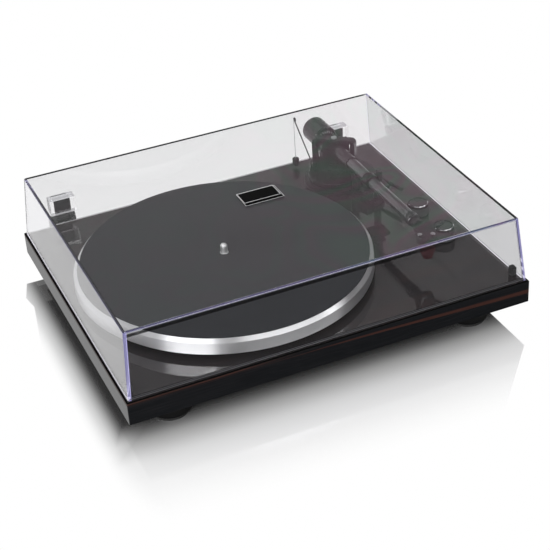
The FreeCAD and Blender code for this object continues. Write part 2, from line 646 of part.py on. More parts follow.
def at_hinge(obj, side, x="0", y="0", z="0"):
    """Moves an object drawn about the hinge pin's middle to one side's pin."""
    return seat(obj, f"{side} * plan.hinge_x + ({x})", f"{BACK} + size.pin_back + ({y})",
                f"size.pin_rise + ({z})")


def make_hinges():
    pins, leaves = [], []
    for name, side in (("left", -1), ("right", 1)):
        bracket = hinge_bracket()
        piece(f"hinge_bracket_{name}", bracket, f"{side} * plan.hinge_x", f"{BACK} + size.pin_back",
              f"{DECK} + size.pin_rise")
        pin = rod("size.pin_radius", "size.hinge_width", along="X")
        pins.append(at_hinge(pin, side, "-size.hinge_width / 2"))
        leaves.append(at_hinge(hinge_leaf(), side))
    piece("hinge_pins", group(pins), z=DECK)
    piece("hinge_leaves", group(leaves), z=DECK)


# ---------------------------------------------------------------- tonearm carrier

def make_arm_board():
    tongue_body = padded(rectangle("-size.tongue_width / 2", "size.tongue_width / 2",
                                   "-size.tongue_length", "0"), "size.arm_board")
    rounded(tongue_body, 2.5, lambda e: is_vertical(e) and e.BoundBox.YMax < -10)
    tongue_body.Placement = FreeCAD.Placement(V(), FreeCAD.Rotation(UP, num("size.tongue_angle")))
    wing_area = box("size.arm_board_sector", "1.3 * size.arm_board_sector", "size.arm_board", "2",
                    "-0.8 * size.arm_board_sector")
    wing = common(rod("size.arm_board_sector", "size.arm_board"), wing_area)
    plate = fuse([rod("size.arm_board_radius", "size.arm_board"), wing, tongue_body])
    holes = [rod("size.pillar_tube", 20, z="-5")]
    piece("arm_board", cut(plate, holes), "plan.arm_x", "plan.arm_y", DECK)


def make_pillar():
    bore = "size.swing_shaft_radius + size.running_play"
    low = "size.arm_board"
    collar_z = f"({low} + size.pillar_collar_height)"
    nut_z = "(-size.deck_thickness - size.pillar_nut)"
    points = [(bore, nut_z), ("size.pillar_nut_radius", nut_z),
              ("size.pillar_nut_radius", "-size.deck_thickness"),
              ("size.pillar_tube", "-size.deck_thickness"), ("size.pillar_tube", low), ("size.pillar_collar - 1", low), ("size.pillar_collar", f"{low} + 1"),
              ("size.pillar_collar", f"{collar_z} - 1"), ("size.pillar_collar - 1", collar_z)]
    radius, height = "size.pillar_radius", collar_z
    for step in range(3):
        groove = f"{radius} - size.pillar_groove"
        points += [(radius, height), (radius, f"{height} + plan.pillar_band"),
                   (groove, f"{height} + plan.pillar_band"),
                   (groove, f"{height} + plan.pillar_band + size.pillar_groove / 2")]
        height = f"{height} + plan.pillar_band + size.pillar_groove / 2"
        radius = f"{radius} - 0.8"
    points += [(radius, height), (radius, "plan.pillar_top"), (bore, "plan.pillar_top")]
    piece("arm_pillar", turned(points), "plan.arm_x", "plan.arm_y", DECK)


def make_yoke():
    outer = "(size.yoke_inner + size.yoke_post)"
    top = "(plan.yoke_bar_bottom + size.yoke_bar)"
    foot = "(size.arm_board + size.pillar_collar_height)"
    arch = padded(((f"-{outer}", foot), ("-size.yoke_inner", foot),
                   ("-size.yoke_inner", "plan.yoke_bar_bottom"),
                   ("size.yoke_inner", "plan.yoke_bar_bottom"), ("size.yoke_inner", foot),
                   (outer, foot), (outer, top), (f"-{outer}", top)),
                  "size.yoke_depth", "XZ_Plane", True)
    high = num(top) - 0.01
    reach = num(outer) - 0.01

    def is_shoulder(edge):
        limits = edge.BoundBox
        return limits.ZMin > high and (limits.XMin > reach or limits.XMax < -reach)

    rounded(arch, "size.yoke_round", is_shoulder)
    hole = rod("size.pivot_radius + 0.8", 20, z="plan.yoke_bar_bottom - 5")
    turn = -num("size.yoke_angle")
    piece("arm_yoke", cut(arch, [hole]), "plan.arm_x", "plan.arm_y", DECK, turn)
    ring_top = "(size.arm_height + size.ring_rise)"
    screw = fuse([
        rod("size.pivot_radius", f"plan.yoke_bar_bottom - {ring_top} + 1.9", z=f"{ring_top} - 1.9"),
        rod("size.pivot_radius + 0.8", "size.yoke_bar", z="plan.yoke_bar_bottom"),
        rod("size.pivot_head + 0.6", 1.2, z=top)])
    piece("top_pivot_screw", screw, "plan.arm_x", "plan.arm_y", DECK)


def make_gimbal():
    at = {"x": "plan.arm_x", "y": "plan.arm_y", "z": f"{DECK} + size.arm_height"}
    ring = slab("2 * size.ring_half", "size.ring_depth", "2 * size.ring_rise", z="-size.ring_rise")
    opening = slab("2 * (size.ring_half - size.ring_side)", "size.ring_depth + 2",
                   "2 * (size.ring_rise - size.ring_band)", z="-(size.ring_rise - size.ring_band)")
    shaft = rod("size.swing_shaft_radius", "size.arm_height - size.ring_rise + 8",
                z="-8 - size.arm_height")
    top_bore = rod("size.pivot_radius + size.running_play", "size.ring_band + 1",
                   z="size.ring_rise - size.ring_band")
    block_half = "(size.ring_half - size.ring_side - size.block_play)"
    length = f"(size.ring_half - {block_half} + 3.3)"
    pivots = []
    for start, head in ((f"{block_half} - 2.5", "size.ring_half"),
                        ("-size.ring_half - 0.8", "-size.ring_half - 0.8")):
        pivots += [rod("size.pivot_radius", length, start, along="X"),
                   rod("size.pivot_head", 0.8, head, along="X")]
    ring = cut(fuse([ring, shaft]), [opening, top_bore])
    piece("gimbal_ring", fuse([ring] + pivots), **at)
    # block between the tilt pivots, with a stub each way along the arm
    block = slab(f"2 * {block_half}", "size.ring_depth", "2 * size.block_rise", z="-size.block_rise")
    neck = rod("size.neck_radius", "size.sleeve_start - size.ring_depth / 2", y="-size.sleeve_start",
               along="Y")
    tail = rod("size.tail_radius", "size.tail_end - size.ring_depth / 2", y="size.ring_depth / 2",
               along="Y")
    bores = []
    for start in (f"{block_half} - 2.7", f"-{block_half} - 0.3"):
        bores.append(rod("size.pivot_radius + size.running_play", 3, start, along="X"))
    piece("pivot_block", cut(fuse([block, neck, tail]), bores), **at)


def make_tube():
    at = {"x": "plan.arm_x", "y": "plan.arm_y", "z": f"{DECK} + size.arm_height"}
    sleeve = turned_along_y((
        ("0", "-size.sleeve_end"), ("size.sleeve_radius", "-size.sleeve_end"),
        ("size.sleeve_radius", "-size.sleeve_start - 1"), ("size.sleeve_radius - 1", "-size.sleeve_start"),
        ("0", "-size.sleeve_start")))
    piece("arm_sleeve", sleeve, **at)
    tube = cut(rod("size.tube_radius", "plan.tube_end - size.sleeve_end", y="-plan.tube_end", along="Y"),
               [rod("size.tube_radius - size.tube_wall", "plan.tube_end - size.sleeve_end + 2",
                    y="-plan.tube_end - 1", along="Y")])
    piece("arm_tube", tube, **at)
    band = cut(rod("size.band_radius", "size.band_end - size.band_start", y="-size.band_end", along="Y"),
               [rod("size.tube_radius", "plan.tube_end", y="-plan.tube_end", along="Y")])
    piece("tube_band", band, **at)


def make_counterweight():
    at = {"x": "plan.arm_x", "y": "plan.arm_y", "z": f"{DECK} + size.arm_height"}
    bore = "size.tail_radius + size.running_play"
    chamfer = "size.weight_chamfer"
    weight = turned_along_y((
        ("size.weight_bush_radius", "size.weight_start"),
        (f"size.weight_radius - {chamfer}", "size.weight_start"),
        ("size.weight_radius", f"size.weight_start + {chamfer}"),
        ("size.weight_radius", f"size.weight_end - {chamfer}"),
        (f"size.weight_radius - {chamfer}", "size.weight_end"), (bore, "size.weight_end"),
        (bore, "size.weight_start + size.bush_depth"),
        ("size.weight_bush_radius", "size.weight_start + size.bush_depth")))
    piece("counterweight", weight, **at)
    bush = turned_along_y((
        (bore, "size.weight_bush_start"), ("size.weight_bush_radius - 1", "size.weight_bush_start"),
        ("size.weight_bush_radius", "size.weight_bush_start + 1"),
        ("size.weight_bush_radius", "size.weight_start + size.bush_depth"),
        (bore, "size.weight_start + size.bush_depth")))
    piece("counterweight_bush", bush, **at)
    dial_bore = "size.weight_bush_radius + size.running_play"
    dial = turned_along_y((
        (dial_bore, "size.dial_start"), ("size.dial_radius - 1", "size.dial_start"),
        ("size.dial_radius", "size.dial_start + 1"), ("size.dial_radius", "size.dial_end"),
        (dial_bore, "size.dial_end")))
    piece("force_dial", dial, **at)


# ---------------------------------------------------------------- headshell and cartridge

def shell_place(ahead, side="0", z="0"):
    """Place in the arm's frame, along the headshell's own turned axis."""
    angle = math.radians(num("size.offset_angle"))
    x = f"-({ahead}) * {math.sin(angle)} + ({side}) * {math.cos(angle)}"
    y = f"-plan.shell_turn_at - ({ahead}) * {math.cos(angle)} - ({side}) * {math.sin(angle)}"
    return x, y, z


def shell_piece(label, obj):
    """Seats a piece built along the headshell's own axis, its y counted from the turn."""
    turned_about_z(obj, -num("size.offset_angle"))
    obj.Label = label
    seat(obj, "plan.arm_x", f"plan.arm_y - plan.shell_turn_at - {FORWARD}", DECK)
    pieces[label] = obj


def make_headshell():
    at = {"x": "plan.arm_x", "y": "plan.arm_y", "z": f"{DECK} + size.arm_height"}
    nut_end = "(plan.tube_end + size.nut_length)"
    nut = turned_along_y((
        ("size.shell_neck_radius", f"-{nut_end}"), ("size.nut_radius - 1", f"-{nut_end}"),
        ("size.nut_radius", f"-{nut_end} + 1"), ("size.nut_radius", "-plan.tube_end - 1"),
        ("size.nut_radius - 1", "-plan.tube_end"), ("size.shell_neck_radius", "-plan.tube_end")))
    piece("headshell_nut", nut, **at)
    # plate with two long slots; its neck runs back into the nut along the tube's axis
    half = "size.shell_width / 2"
    plate = padded(((f"-{half}", "-size.shell_front"), (half, "-size.shell_front"),
                    (half, "size.shell_back - 6"), (f"{half} - 4", "size.shell_back"),
                    ("-2", "size.shell_back"), (f"-{half}", "size.shell_back - 9")),
                   "size.shell_thickness")
    rounded(plate, 1.5, is_vertical)
    turned_about_z(plate, -num("size.offset_angle"))
    seat(plate, "0", "-plan.shell_turn_at", "plan.shell_bottom - size.arm_height")
    neck_end = "(plan.shell_turn_at - size.shell_back + 3)"
    neck = rod("size.shell_neck_radius", f"{neck_end} - plan.tube_end", y=f"-{neck_end}", along="Y")
    slots = []
    for side in (-1, 1):
        slot = box("size.slot_width", "size.slot_length", "size.shell_thickness + 2")
        turned_about_z(slot, -num("size.offset_angle"))
        x, y, z = shell_place("size.screws_ahead + size.slot_length / 2",
                              f"{side} * size.screw_spacing / 2 - size.slot_width / 2",
                              "plan.shell_bottom - size.arm_height - 1")
        slots.append(seat(slot, x, y, z))
    top = "(plan.shell_bottom + size.shell_thickness)"
    lift = padded((("-2", "0"), ("3.4", "0"), ("9.5", "5"), ("9.5", "6.6"), ("2.8", "1.4"),
                   ("-2", "1.4")), 4, "XZ_Plane", True)
    turned_about_z(lift, -num("size.offset_angle"))
    x, y, z = shell_place("12 - size.shell_back", half, f"{top} - size.arm_height - 1.4")
    seat(lift, x, y, z)
    piece("headshell", cut(fuse([plate, neck, lift]), slots), **at)
    screws = []
    for side in (-1, 1):
        x, y = f"{side} * size.screw_spacing / 2", "-size.screws_ahead"
        screws.append(fuse([rod("size.shell_screw_head", 1.8, x, y, top),
                            rod("size.slot_width / 2 - 0.25", "size.shell_thickness + 3", x, y,
                                f"{top} - size.shell_thickness - 3")]))
    shell_piece("headshell_screws", group(screws))


def make_cartridge():
    half = "size.cartridge_width / 2"
    front = "size.cartridge_front"
    top = "plan.shell_bottom"
    low = f"({top} - size.cartridge_height)"
    body = box("size.cartridge_width", "size.cartridge_length", "size.cartridge_height", f"-{half}",
               f"-{front}", low)
    ears = slab("size.screw_spacing + 6", 5, 2, "0", "-size.screws_ahead", f"{top} - 2")
    holes = [rod("size.slot_width / 2 - 0.25", 6, f"{side} * size.screw_spacing / 2", "-size.screws_ahead",
                 f"{top} - 5") for side in (-1, 1)]
    shell_piece("cartridge", cut(fuse([body, ears]), holes))
    # guard: a tongue with a rounded foot, carried in front of the needle
    half = "size.guard_width / 2"
    deep = "size.guard_drop"
    guard = padded(((f"-{half}", "0"), (f"-{half}", f"-{deep} * 0.45"), (f"-{half} * 0.45", f"-{deep} * 0.98"),
                    (f"{half} * 0.45", f"-{deep} * 0.98"), (half, f"-{deep} * 0.45"), (half, "0")),
                   "size.guard_depth", "XZ_Plane", True)
    rounded(guard, 1.2, lambda e: e.BoundBox.ZMax < -1 and e.BoundBox.YLength > 1)
    hollow = box("size.guard_width - 4", "size.guard_depth", 20, "-size.guard_width / 2 + 2",
                 "-size.guard_depth / 2 + 1.6", f"-{deep} - 5")
    body = cut(guard, [hollow])
    seat(body, "0", f"-{front} + size.guard_depth / 2 - 1.6", low)
    shell_piece("stylus_guard", group([body]))
    tip = "plan.stylus_tip_z"
    carrier = fuse([rod(1.2, 9, "0", f"-size.stylus_ahead + 0.5", f"{low} - 2.4", along="Y"),
                    box(3, 4, 2.6, "-1.5", "-size.stylus_ahead + 5.5", f"{low} - 2.6"),
                    rod(0.35, f"{low} - 1.4 - {tip}", "0", "-size.stylus_ahead + 1.2", tip)])
    shell_piece("stylus", group([carrier]))


# ---------------------------------------------------------------- cue lift, rest, anti-skate

def make_cue_lift():
    turn = num("size.tongue_angle")
    x, y = about_arm("size.lift_distance")
    top = "(size.arm_height - size.sleeve_radius - size.lift_bar_gap)"
    height = "(size.lift_housing_top - size.arm_board)"
    bore = rod("size.lift_piston + size.running_play", 40, z="-5")
    barrel = rod("size.lift_piston + 3.4", height)
    reach = "(size.lever_back - size.lift_distance + 4)"
    cheek = box("size.lever_offset - 6", reach, "size.lever_z - size.arm_board + 3.5", "0", f"-{reach}",
                "0")
    axle_y = "(size.lift_distance - size.lever_back)"
    axle_hole = rod("1.2 + size.running_play", "size.lever_offset", "4.3", axle_y,
                    "size.lever_z - size.arm_board", along="X")
    housing = cut(fuse([barrel, cheek]), [bore, axle_hole])
    piece("lift_housing", housing, x, y, f"{DECK} + size.arm_board", turn)
    piston_low = "(size.arm_board + 3.5)"
    piston = rod("size.lift_piston", f"{top} - size.lift_bar - {piston_low}")
    seat(piston, x, y, piston_low)
    bar = seat(lift_sector(), "plan.arm_x", "plan.arm_y", f"{top} - size.lift_bar")
    piece("lift_bar", fuse([piston, bar]), z=DECK)
    # lever: axle through the cheek, arm towards the front, thicker grip
    axle = rod(1.2, "size.lever_offset - 4.6", "4.6 - size.lever_offset", along="X")
    arm = rod("size.lever_radius", "size.lever_length * 0.7", "0", "-size.lever_length * 0.7", along="Y")
    hub = rod("size.lever_grip + 0.4", 8.2, "-5.7", along="X")
    grip = rod("size.lever_grip", "size.lever_length * 0.56", "0", "-size.lever_length", along="Y")
    lever_x, lever_y = about_arm("size.lever_back", "size.lever_offset")
    piece("cue_lever", fuse([axle, arm, hub, grip]), lever_x, lever_y, f"{DECK} + size.lever_z", turn)


def lift_sector():
    """Curved bar under the arm, a sector of a ring about the tonearm's pivot."""
    radius, depth = num("size.lift_distance"), num("size.lift_bar_depth")
    start = -90 + num("size.tongue_angle") + 4
    sweep = num("size.lift_sweep") + num("size.tongue_angle") + 4
    bar = doc.addObject("Part::Feature", "bar")
    first = V(math.cos(math.radians(start)), math.sin(math.radians(start)), 0)
    side = Part.makePolygon([first * (radius - depth / 2), first * (radius + depth / 2),
                             first * (radius + depth / 2) + V(0, 0, num("size.lift_bar")),
                             first * (radius - depth / 2) + V(0, 0, num("size.lift_bar")),
                             first * (radius - depth / 2)])
    bar.Shape = Part.Face(side).revolve(V(), UP, -sweep)
    return bar


def make_arm_rest():
    """Post on the tongue with a saddle under the arm and a horn on its outer side."""
    x, y = about_arm("size.rest_distance")
    saddle_z = "(size.arm_height - size.band_radius - size.saddle_play)"
    beam_z = f"({saddle_z} - 3.5)"
    middle_y = "(plan.arm_y - (size.band_start + size.band_end) / 2)"
    depth = "(size.band_end - size.band_start - 1)"
    post = rod("size.rest_post", f"{beam_z} - size.arm_board", x, y, "size.arm_board")
    foot = rod("size.rest_post + 2", 1.6, x, y, "size.arm_board")
    beam = slab("22", f"{depth} + 10", 3.5, f"{x} - 6", f"({y} + {middle_y}) / 2", f"{beam_z} - 3.5")
    saddle = slab("24", depth, 3.5, "plan.arm_x + 2", middle_y, beam_z)
    horn_x = "(plan.arm_x + size.band_radius + 0.5)"
    horn = box(3.6, f"{depth} - 3", "size.arm_height + 9.5 - " + beam_z, horn_x,
               f"{middle_y} - {depth} / 2 + 1.5", beam_z)
    piece("arm_rest", fuse([post, foot, beam, saddle, horn]), z=DECK)


def make_anti_skate():
    wire_r = num("size.wire_radius")
    collar = num("size.arm_board + size.pillar_collar_height")
    foot = V(num("plan.arm_x - 19"), num("plan.arm_y + 20.5"), collar + wire_r / 4)
    knee = V(foot.x, foot.y + 1.5, collar + 9)
    loop = V(num("plan.loop_x"), num("plan.loop_y"), num("plan.loop_z"))
    ring_r = num("size.loop_radius")
    eye_low = loop - V(0, 0, ring_r)
    path = Part.Wire([Part.LineSegment(foot, knee).toShape(), Part.LineSegment(knee, eye_low).toShape()])
    rail = Part.Wire(Part.Circle(foot, knee - foot, wire_r).toShape())
    stem = path.makePipeShell([rail], True, False, 2)
    eye = Part.makeTorus(ring_r, wire_r, loop, V(1, 0, 0))
    wire = doc.addObject("Part::Feature", "wire")
    wire.Shape = stem.fuse(eye)
    piece("anti_skate_wire", wire, z=DECK)
    # the thread hangs from the front inside of the loop down to the weight
    thread_y = "(plan.loop_y + size.loop_radius + size.wire_radius + size.thread_radius + 0.1)"
    hang = "(plan.loop_z - size.skate_bottom - size.skate_height)"
    piece("anti_skate_thread", rod("size.thread_radius", hang), "plan.loop_x", thread_y,
          f"{DECK} + size.skate_bottom + size.skate_height")
    weight = turned((("0", "0"), ("size.skate_radius - 0.6", "0"), ("size.skate_radius", "0.6"),
                     ("size.skate_radius", "size.skate_height - 0.6"),
                     ("size.skate_radius - 0.6", "size.skate_height"), ("0", "size.skate_height")))
    piece("anti_skate_weight", weight, "plan.loop_x", thread_y, f"{DECK} + size.skate_bottom")


# ---------------------------------------------------------------- knobs, sockets, board

def make_knobs():
    controls = []
    for name, y in (("speed", "plan.knob_back_y"), ("power", "plan.knob_front_y")):
        at = {"x": "plan.knob_x", "y": y, "z": DECK}
        shaft_low = "(-size.deck_thickness - 4)"
        bevel = "size.knob_bevel"
        knob = turned((
            ("0", shaft_low), ("size.knob_shaft", shaft_low), ("size.knob_shaft", "size.knob_gap"),
            ("size.knob_radius", "size.knob_gap"),
            ("size.knob_radius", f"size.knob_height - 2 * {bevel}"),
            (f"size.knob_radius - 1.5 * {bevel}", f"size.knob_height - 2 * {bevel}"),
            (f"size.knob_radius - 1.5 * {bevel}", "size.knob_height - 0.5"), 
            ("0", "size.knob_height - 0.5")))
        marker = box("1.2", "size.knob_radius - 4", "0.6", "-0.6", "1.5", "size.knob_height - 0.5")
        piece(f"{name}_knob", fuse([knob, marker]), **at)
        ring = turned((
            (f"size.knob_radius - 1.5 * {bevel}", f"size.knob_height - 2 * {bevel}"),
            ("size.knob_radius", f"size.knob_height - 2 * {bevel}"),
            ("size.knob_radius", f"size.knob_height - 1.2 * {bevel}"),
            (f"size.knob_radius - {bevel}", "size.knob_height"),
            (f"size.knob_radius - 1.5 * {bevel}", "size.knob_height")))
        piece(f"{name}_knob_ring", ring, **at)
        case = fuse([slab("size.control_width", "size.control_width", "size.control_height",
                          z="-size.deck_thickness - size.control_height"),
                     rod("size.control_bush", "size.deck_thickness + 0.4", z="-size.deck_thickness")])
        bore = rod("size.knob_shaft + size.running_play", 40, z="-size.deck_thickness - 4.3")
        controls.append(seat(cut(case, [bore]), "plan.knob_x", y))
    piece("knob_controls", group(controls), z=DECK)


def make_back_panel():
    """Plate in the window of the rear wall, with the sockets that reach out of it."""
    panel_y = f"({BACK} - 1)"
    middle_z = "(size.foot_height + size.board_thickness + 1.5 + size.panel_height / 2)"
    at = {"x": "size.panel_x", "y": panel_y, "z": middle_z}
    plate = slab("size.panel_width - 2 * size.board_play", "size.panel_thickness",
                 "size.panel_height - 2 * size.board_play", y="-size.panel_thickness / 2",
                 z="-size.panel_height / 2 + size.board_play")
    spots = ("-48", "-48 + size.jack_spacing")
    holes = [rod("size.jack_radius", 10, x, "-5", along="Y") for x in spots]
    holes += [rod(2.5, 10, "-8", "-5", along="Y"), rod(3, 10, "50", "-5", along="Y"),
              box(7, 10, 4, "16", "-5", "-2")]
    piece("socket_panel", cut(plate, holes), **at)
    jacks = []
    for x in spots:
        jack = cut(rod("size.jack_radius", "size.panel_thickness + size.jack_length", x, along="Y"),
                   [rod("size.jack_radius - 1", 3, x, "size.panel_thickness + size.jack_length - 3",
                        along="Y"),
                    rod("size.jack_bore", "size.jack_length", x, "size.panel_thickness + 0.5",
                        along="Y")])
        jacks.append(jack)
    piece("signal_jacks", group(jacks), "size.panel_x", f"{panel_y} - size.panel_thickness", middle_z)
    post = fuse([rod(2.5, "size.panel_thickness + 7", y="-size.panel_thickness", along="Y"),
                 rod(4.4, 4.5, y="2", along="Y")])
    piece("ground_post", post, "size.panel_x - 8", panel_y, middle_z)
    socket = cut(fuse([rod(3, "size.panel_thickness + 0.01", y="-size.panel_thickness", along="Y"),
                       slab(9, 11, 9, y="-size.panel_thickness - 5.5", z="-4.5"),
                       rod(5, 3, along="Y")]),
                 [rod(2.7, 20, y="-6", along="Y")])
    pin = rod(1, 8, y="-6", along="Y")
    piece("power_socket", fuse([socket, pin]), "size.panel_x + 50", panel_y, middle_z)
    lever = box(2.4, "size.panel_thickness + 5", 2.4, "-1.2", "-size.panel_thickness - 0.5", "-1.2")
    flange = box(9, 1.5, 6, "-4.5", "-size.panel_thickness - 1.8", "-3")
    piece("level_switch", fuse([lever, flange]), "size.panel_x + 17.5", panel_y, middle_z)


def make_circuit_board():
    top = f"({DECK} - size.deck_thickness)"
    board_y = f"({BACK} - size.rear_wall - size.pcb_depth / 2 - 16)"
    spots = [(f"{sx} * (size.pcb_width / 2 - 6)", f"{sy} * (size.pcb_depth / 2 - 6)")
             for sx in (-1, 1) for sy in (-1, 1)]
    at = {"x": "size.panel_x", "y": board_y, "z": f"{top} - size.pcb_drop - size.pcb_thickness"}
    standoffs = []
    for x, y in spots:
        standoffs.append(fuse([rod(3, "size.pcb_drop", x, y, "size.pcb_thickness"),
                               rod(1.5, "size.pcb_thickness + 2", x, y, "-2")]))
    holes = [rod(1.5, 10, x, y, "-5") for x, y in spots]
    parts = [slab("size.pcb_width", "size.pcb_depth", "size.pcb_thickness"), rod(4, 5.2, "-50", "8", "-5"),
             rod(4, 5.2, "-38", "8", "-5"), rod(3, 4.6, "-26", "9", "-4.4"),
             slab(12, 8, 2.2, "0", "0", "-2"), slab(18, 9, 2.2, "28", "-4", "-2"),
             slab(9, 9, 5.2, "52", "6", "-5"), rod(2.6, 5.2, "52", "-10", "-5"),
             slab(16, 6, 4.6, "-20", "-14", "-4.4")]
    piece("circuit_board", cut(fuse(parts), holes), **at)
    piece("board_standoffs", group(standoffs), **at)


# ---------------------------------------------------------------- build, test, write

def check():
    doc.recompute()
    for obj in doc.Objects:
        if "Invalid" in obj.State or "Error" in obj.State:
            raise RuntimeError(f"{obj.Label} failed: {obj.State}")
    for label, obj in pieces.items():
        shape = obj.Shape
        if shape.isNull() or not shape.isValid() or not shape.Solids:
            raise RuntimeError(f"{label} has no valid solid")


def main():
    for make in (make_plinth, make_base_board, make_feet, make_bearing, make_deck_screws, make_platter, make_motor,
                 make_belt, make_cover, make_hinges, make_arm_board, make_pillar, make_yoke,
                 make_gimbal, make_tube, make_counterweight, make_headshell, make_cartridge,
                 make_cue_lift, make_arm_rest, make_anti_skate, make_knobs, make_back_panel,
                 make_circuit_board):
        make()
    check()
    os.makedirs("parts", exist_ok=True)
    for label, obj in pieces.items():
        obj.Shape.exportStep(f"parts/{label}.step")
    print(f"{len(pieces)} pieces written")


main()
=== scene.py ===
"""Finishes, small visible pieces and studio for the record player.

Metres, in the same frame as the CAD: X along the front, Y to the back, Z up.
"""

import json
import math
from types import SimpleNamespace

import bpy
from mathutils import Matrix, Vector


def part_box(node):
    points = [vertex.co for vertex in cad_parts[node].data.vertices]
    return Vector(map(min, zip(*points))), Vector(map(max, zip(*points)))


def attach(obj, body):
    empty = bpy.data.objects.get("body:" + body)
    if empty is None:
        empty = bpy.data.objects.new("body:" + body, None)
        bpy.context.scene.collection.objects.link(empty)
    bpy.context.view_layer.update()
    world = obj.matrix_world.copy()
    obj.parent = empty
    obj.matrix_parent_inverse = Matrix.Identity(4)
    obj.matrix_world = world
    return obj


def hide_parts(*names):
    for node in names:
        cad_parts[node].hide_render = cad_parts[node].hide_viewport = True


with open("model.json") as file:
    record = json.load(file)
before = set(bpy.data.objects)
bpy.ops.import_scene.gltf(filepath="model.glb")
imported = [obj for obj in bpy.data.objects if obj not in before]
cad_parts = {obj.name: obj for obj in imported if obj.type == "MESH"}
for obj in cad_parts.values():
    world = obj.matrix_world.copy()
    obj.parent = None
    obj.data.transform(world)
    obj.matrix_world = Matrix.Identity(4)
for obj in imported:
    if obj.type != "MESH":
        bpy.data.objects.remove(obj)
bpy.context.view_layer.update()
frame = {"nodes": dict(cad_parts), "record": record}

WHITE = (1.0, 1.0, 1.0)
BLACK = (0.0, 0.0, 0.0)

# how bright the studio is to matt surfaces, and how bright it looks as mirrored in the floor
AMBIENT = 0.70
OVERHEAD_GLOW = 0.26
FLOOR_GLOW = 0.26
FRONT_FLOOR_GLOW = FLOOR_GLOW * 0.4
LEFT_GLOW = 1.0
RIGHT_GLOW = 0.9
LEFT_GLOW_AIM = (-0.848, 0.530, 0.0)
# the grey of the studio's walls in a reflection, by degrees round the object from X towards Y
WALL_GREYS = (
    (-170.0, 0.45), (-118.0, 0.25), (-104.0, 0.25), (-98.0, 1.15), (-32.0, 1.15), (-15.0, 0.14),
    (40.0, 0.20), (55.0, 0.27), (80.0, 0.27), (86.0, 0.85), (155.0, 0.85), (170.0, 0.45),
)


# ---------------------------------------------------------------- node helpers


def node(tree, kind, **settings):
    """A new node of that kind, with its settings."""
    made = tree.nodes.new("ShaderNode" + kind)
    for name, value in settings.items():
        setattr(made, name, value)
    return made


def feed(tree, socket, value):
    """Joins value to the socket if it is a socket, or sets it."""
    if isinstance(value, bpy.types.NodeSocket):
        tree.links.new(value, socket)
    else:
        socket.default_value = value


def feed_all(tree, made, *values):
    """Feeds the values to the first inputs of a node, and returns its first output."""
    for socket, value in zip(made.inputs, values):
        feed(tree, socket, value)
    return made.outputs[0]


def maths(tree, operation, *values):
    return feed_all(tree, node(tree, "Math", operation=operation), *values)


def chained(tree, operation, values):
    """The values taken one after the other by one kind of maths."""
    total, *others = values
    for value in others:
        total = maths(tree, operation, total, value)
    return total


def plus(tree, *values):
    return chained(tree, "ADD", values)


def minus(tree, first, second):
    return maths(tree, "SUBTRACT", first, second)


def times(tree, *values):
    return chained(tree, "MULTIPLY", values)


def largest(tree, *values):
    return chained(tree, "MAXIMUM", values)


def smallest(tree, *values):
    return chained(tree, "MINIMUM", values)


def vector_maths(tree, operation, *values):
    made = node(tree, "VectorMath", operation=operation)
    vector = feed_all(tree, made, *values)
    return made.outputs["Value"] if operation in ("LENGTH", "DOT_PRODUCT") else vector


def between(tree, value, low, high, start=0.0, end=1.0):
    """start below low, end above high, and a smooth step from one to the other."""
    made = node(tree, "MapRange", interpolation_type="SMOOTHSTEP")
    return feed_all(tree, made, value, low, high, start, end)


def fading(tree, value, low, high):
    """1 below low, 0 above high, and a smooth step from one to the other."""
    return between(tree, value, low, high, 1.0, 0.0)


def inside(tree, value, start, end):
    """1 after the step at start and before the step at end; each step is a pair of values."""
    return times(tree, between(tree, value, *start), fading(tree, value, *end))


def mixed(tree, amount, first, second):
    """The colours mixed by amount."""
    made = node(tree, "Mix", data_type="RGBA")
    for name, value in (("Factor_Float", amount), ("A_Color", first), ("B_Color", second)):
        socket = next(s for s in made.inputs if s.identifier == name)
        feed(tree, socket, value if not isinstance(value, tuple) else (*value[:3], 1.0))
    return next(s for s in made.outputs if s.identifier == "Result_Color")


def mix_numbers(tree, amount, first, second):
    """The numbers mixed by amount."""
    made = node(tree, "Mix", data_type="FLOAT")
    for index, value in ((0, amount), (2, first), (3, second)):
        feed(tree, made.inputs[index], value)
    return made.outputs[0]


def mixed_shaders(tree, amount, first, second):
    """The outputs of two shader nodes mixed by amount."""
    return feed_all(tree, node(tree, "MixShader"), amount, first, second)


def combined(tree, *values):
    """A vector from its X, Y and Z."""
    return feed_all(tree, node(tree, "CombineXYZ"), *values)


def axes(tree, place):
    """The X, Y and Z of a vector."""
    made = node(tree, "SeparateXYZ")
    feed(tree, made.inputs[0], place)
    return made.outputs


def object_place(tree, scale=(1, 1, 1)):
    """Object coordinates, scaled."""
    place = node(tree, "TexCoord").outputs["Object"]
    if scale != (1, 1, 1):
        place = vector_maths(tree, "MULTIPLY", place, scale)
    return place


def noise(tree, place, scale, detail=3.0, roughness=0.5, distortion=0.0):
    made = node(tree, "TexNoise")
    for name, value in (("Vector", place), ("Scale", scale), ("Detail", detail),
                        ("Roughness", roughness), ("Distortion", distortion)):
        feed(tree, made.inputs[name], value)
    return made.outputs["Fac"]


def bumped(tree, height, strength, distance):
    """A normal tilted by a height, whose full step is distance deep."""
    made = node(tree, "Bump")
    for name, value in (("Height", height), ("Strength", strength), ("Distance", distance)):
        feed(tree, made.inputs[name], value)
    return made.outputs[0]


def true_normal(tree):
    return node(tree, "NewGeometry").outputs["True Normal"]


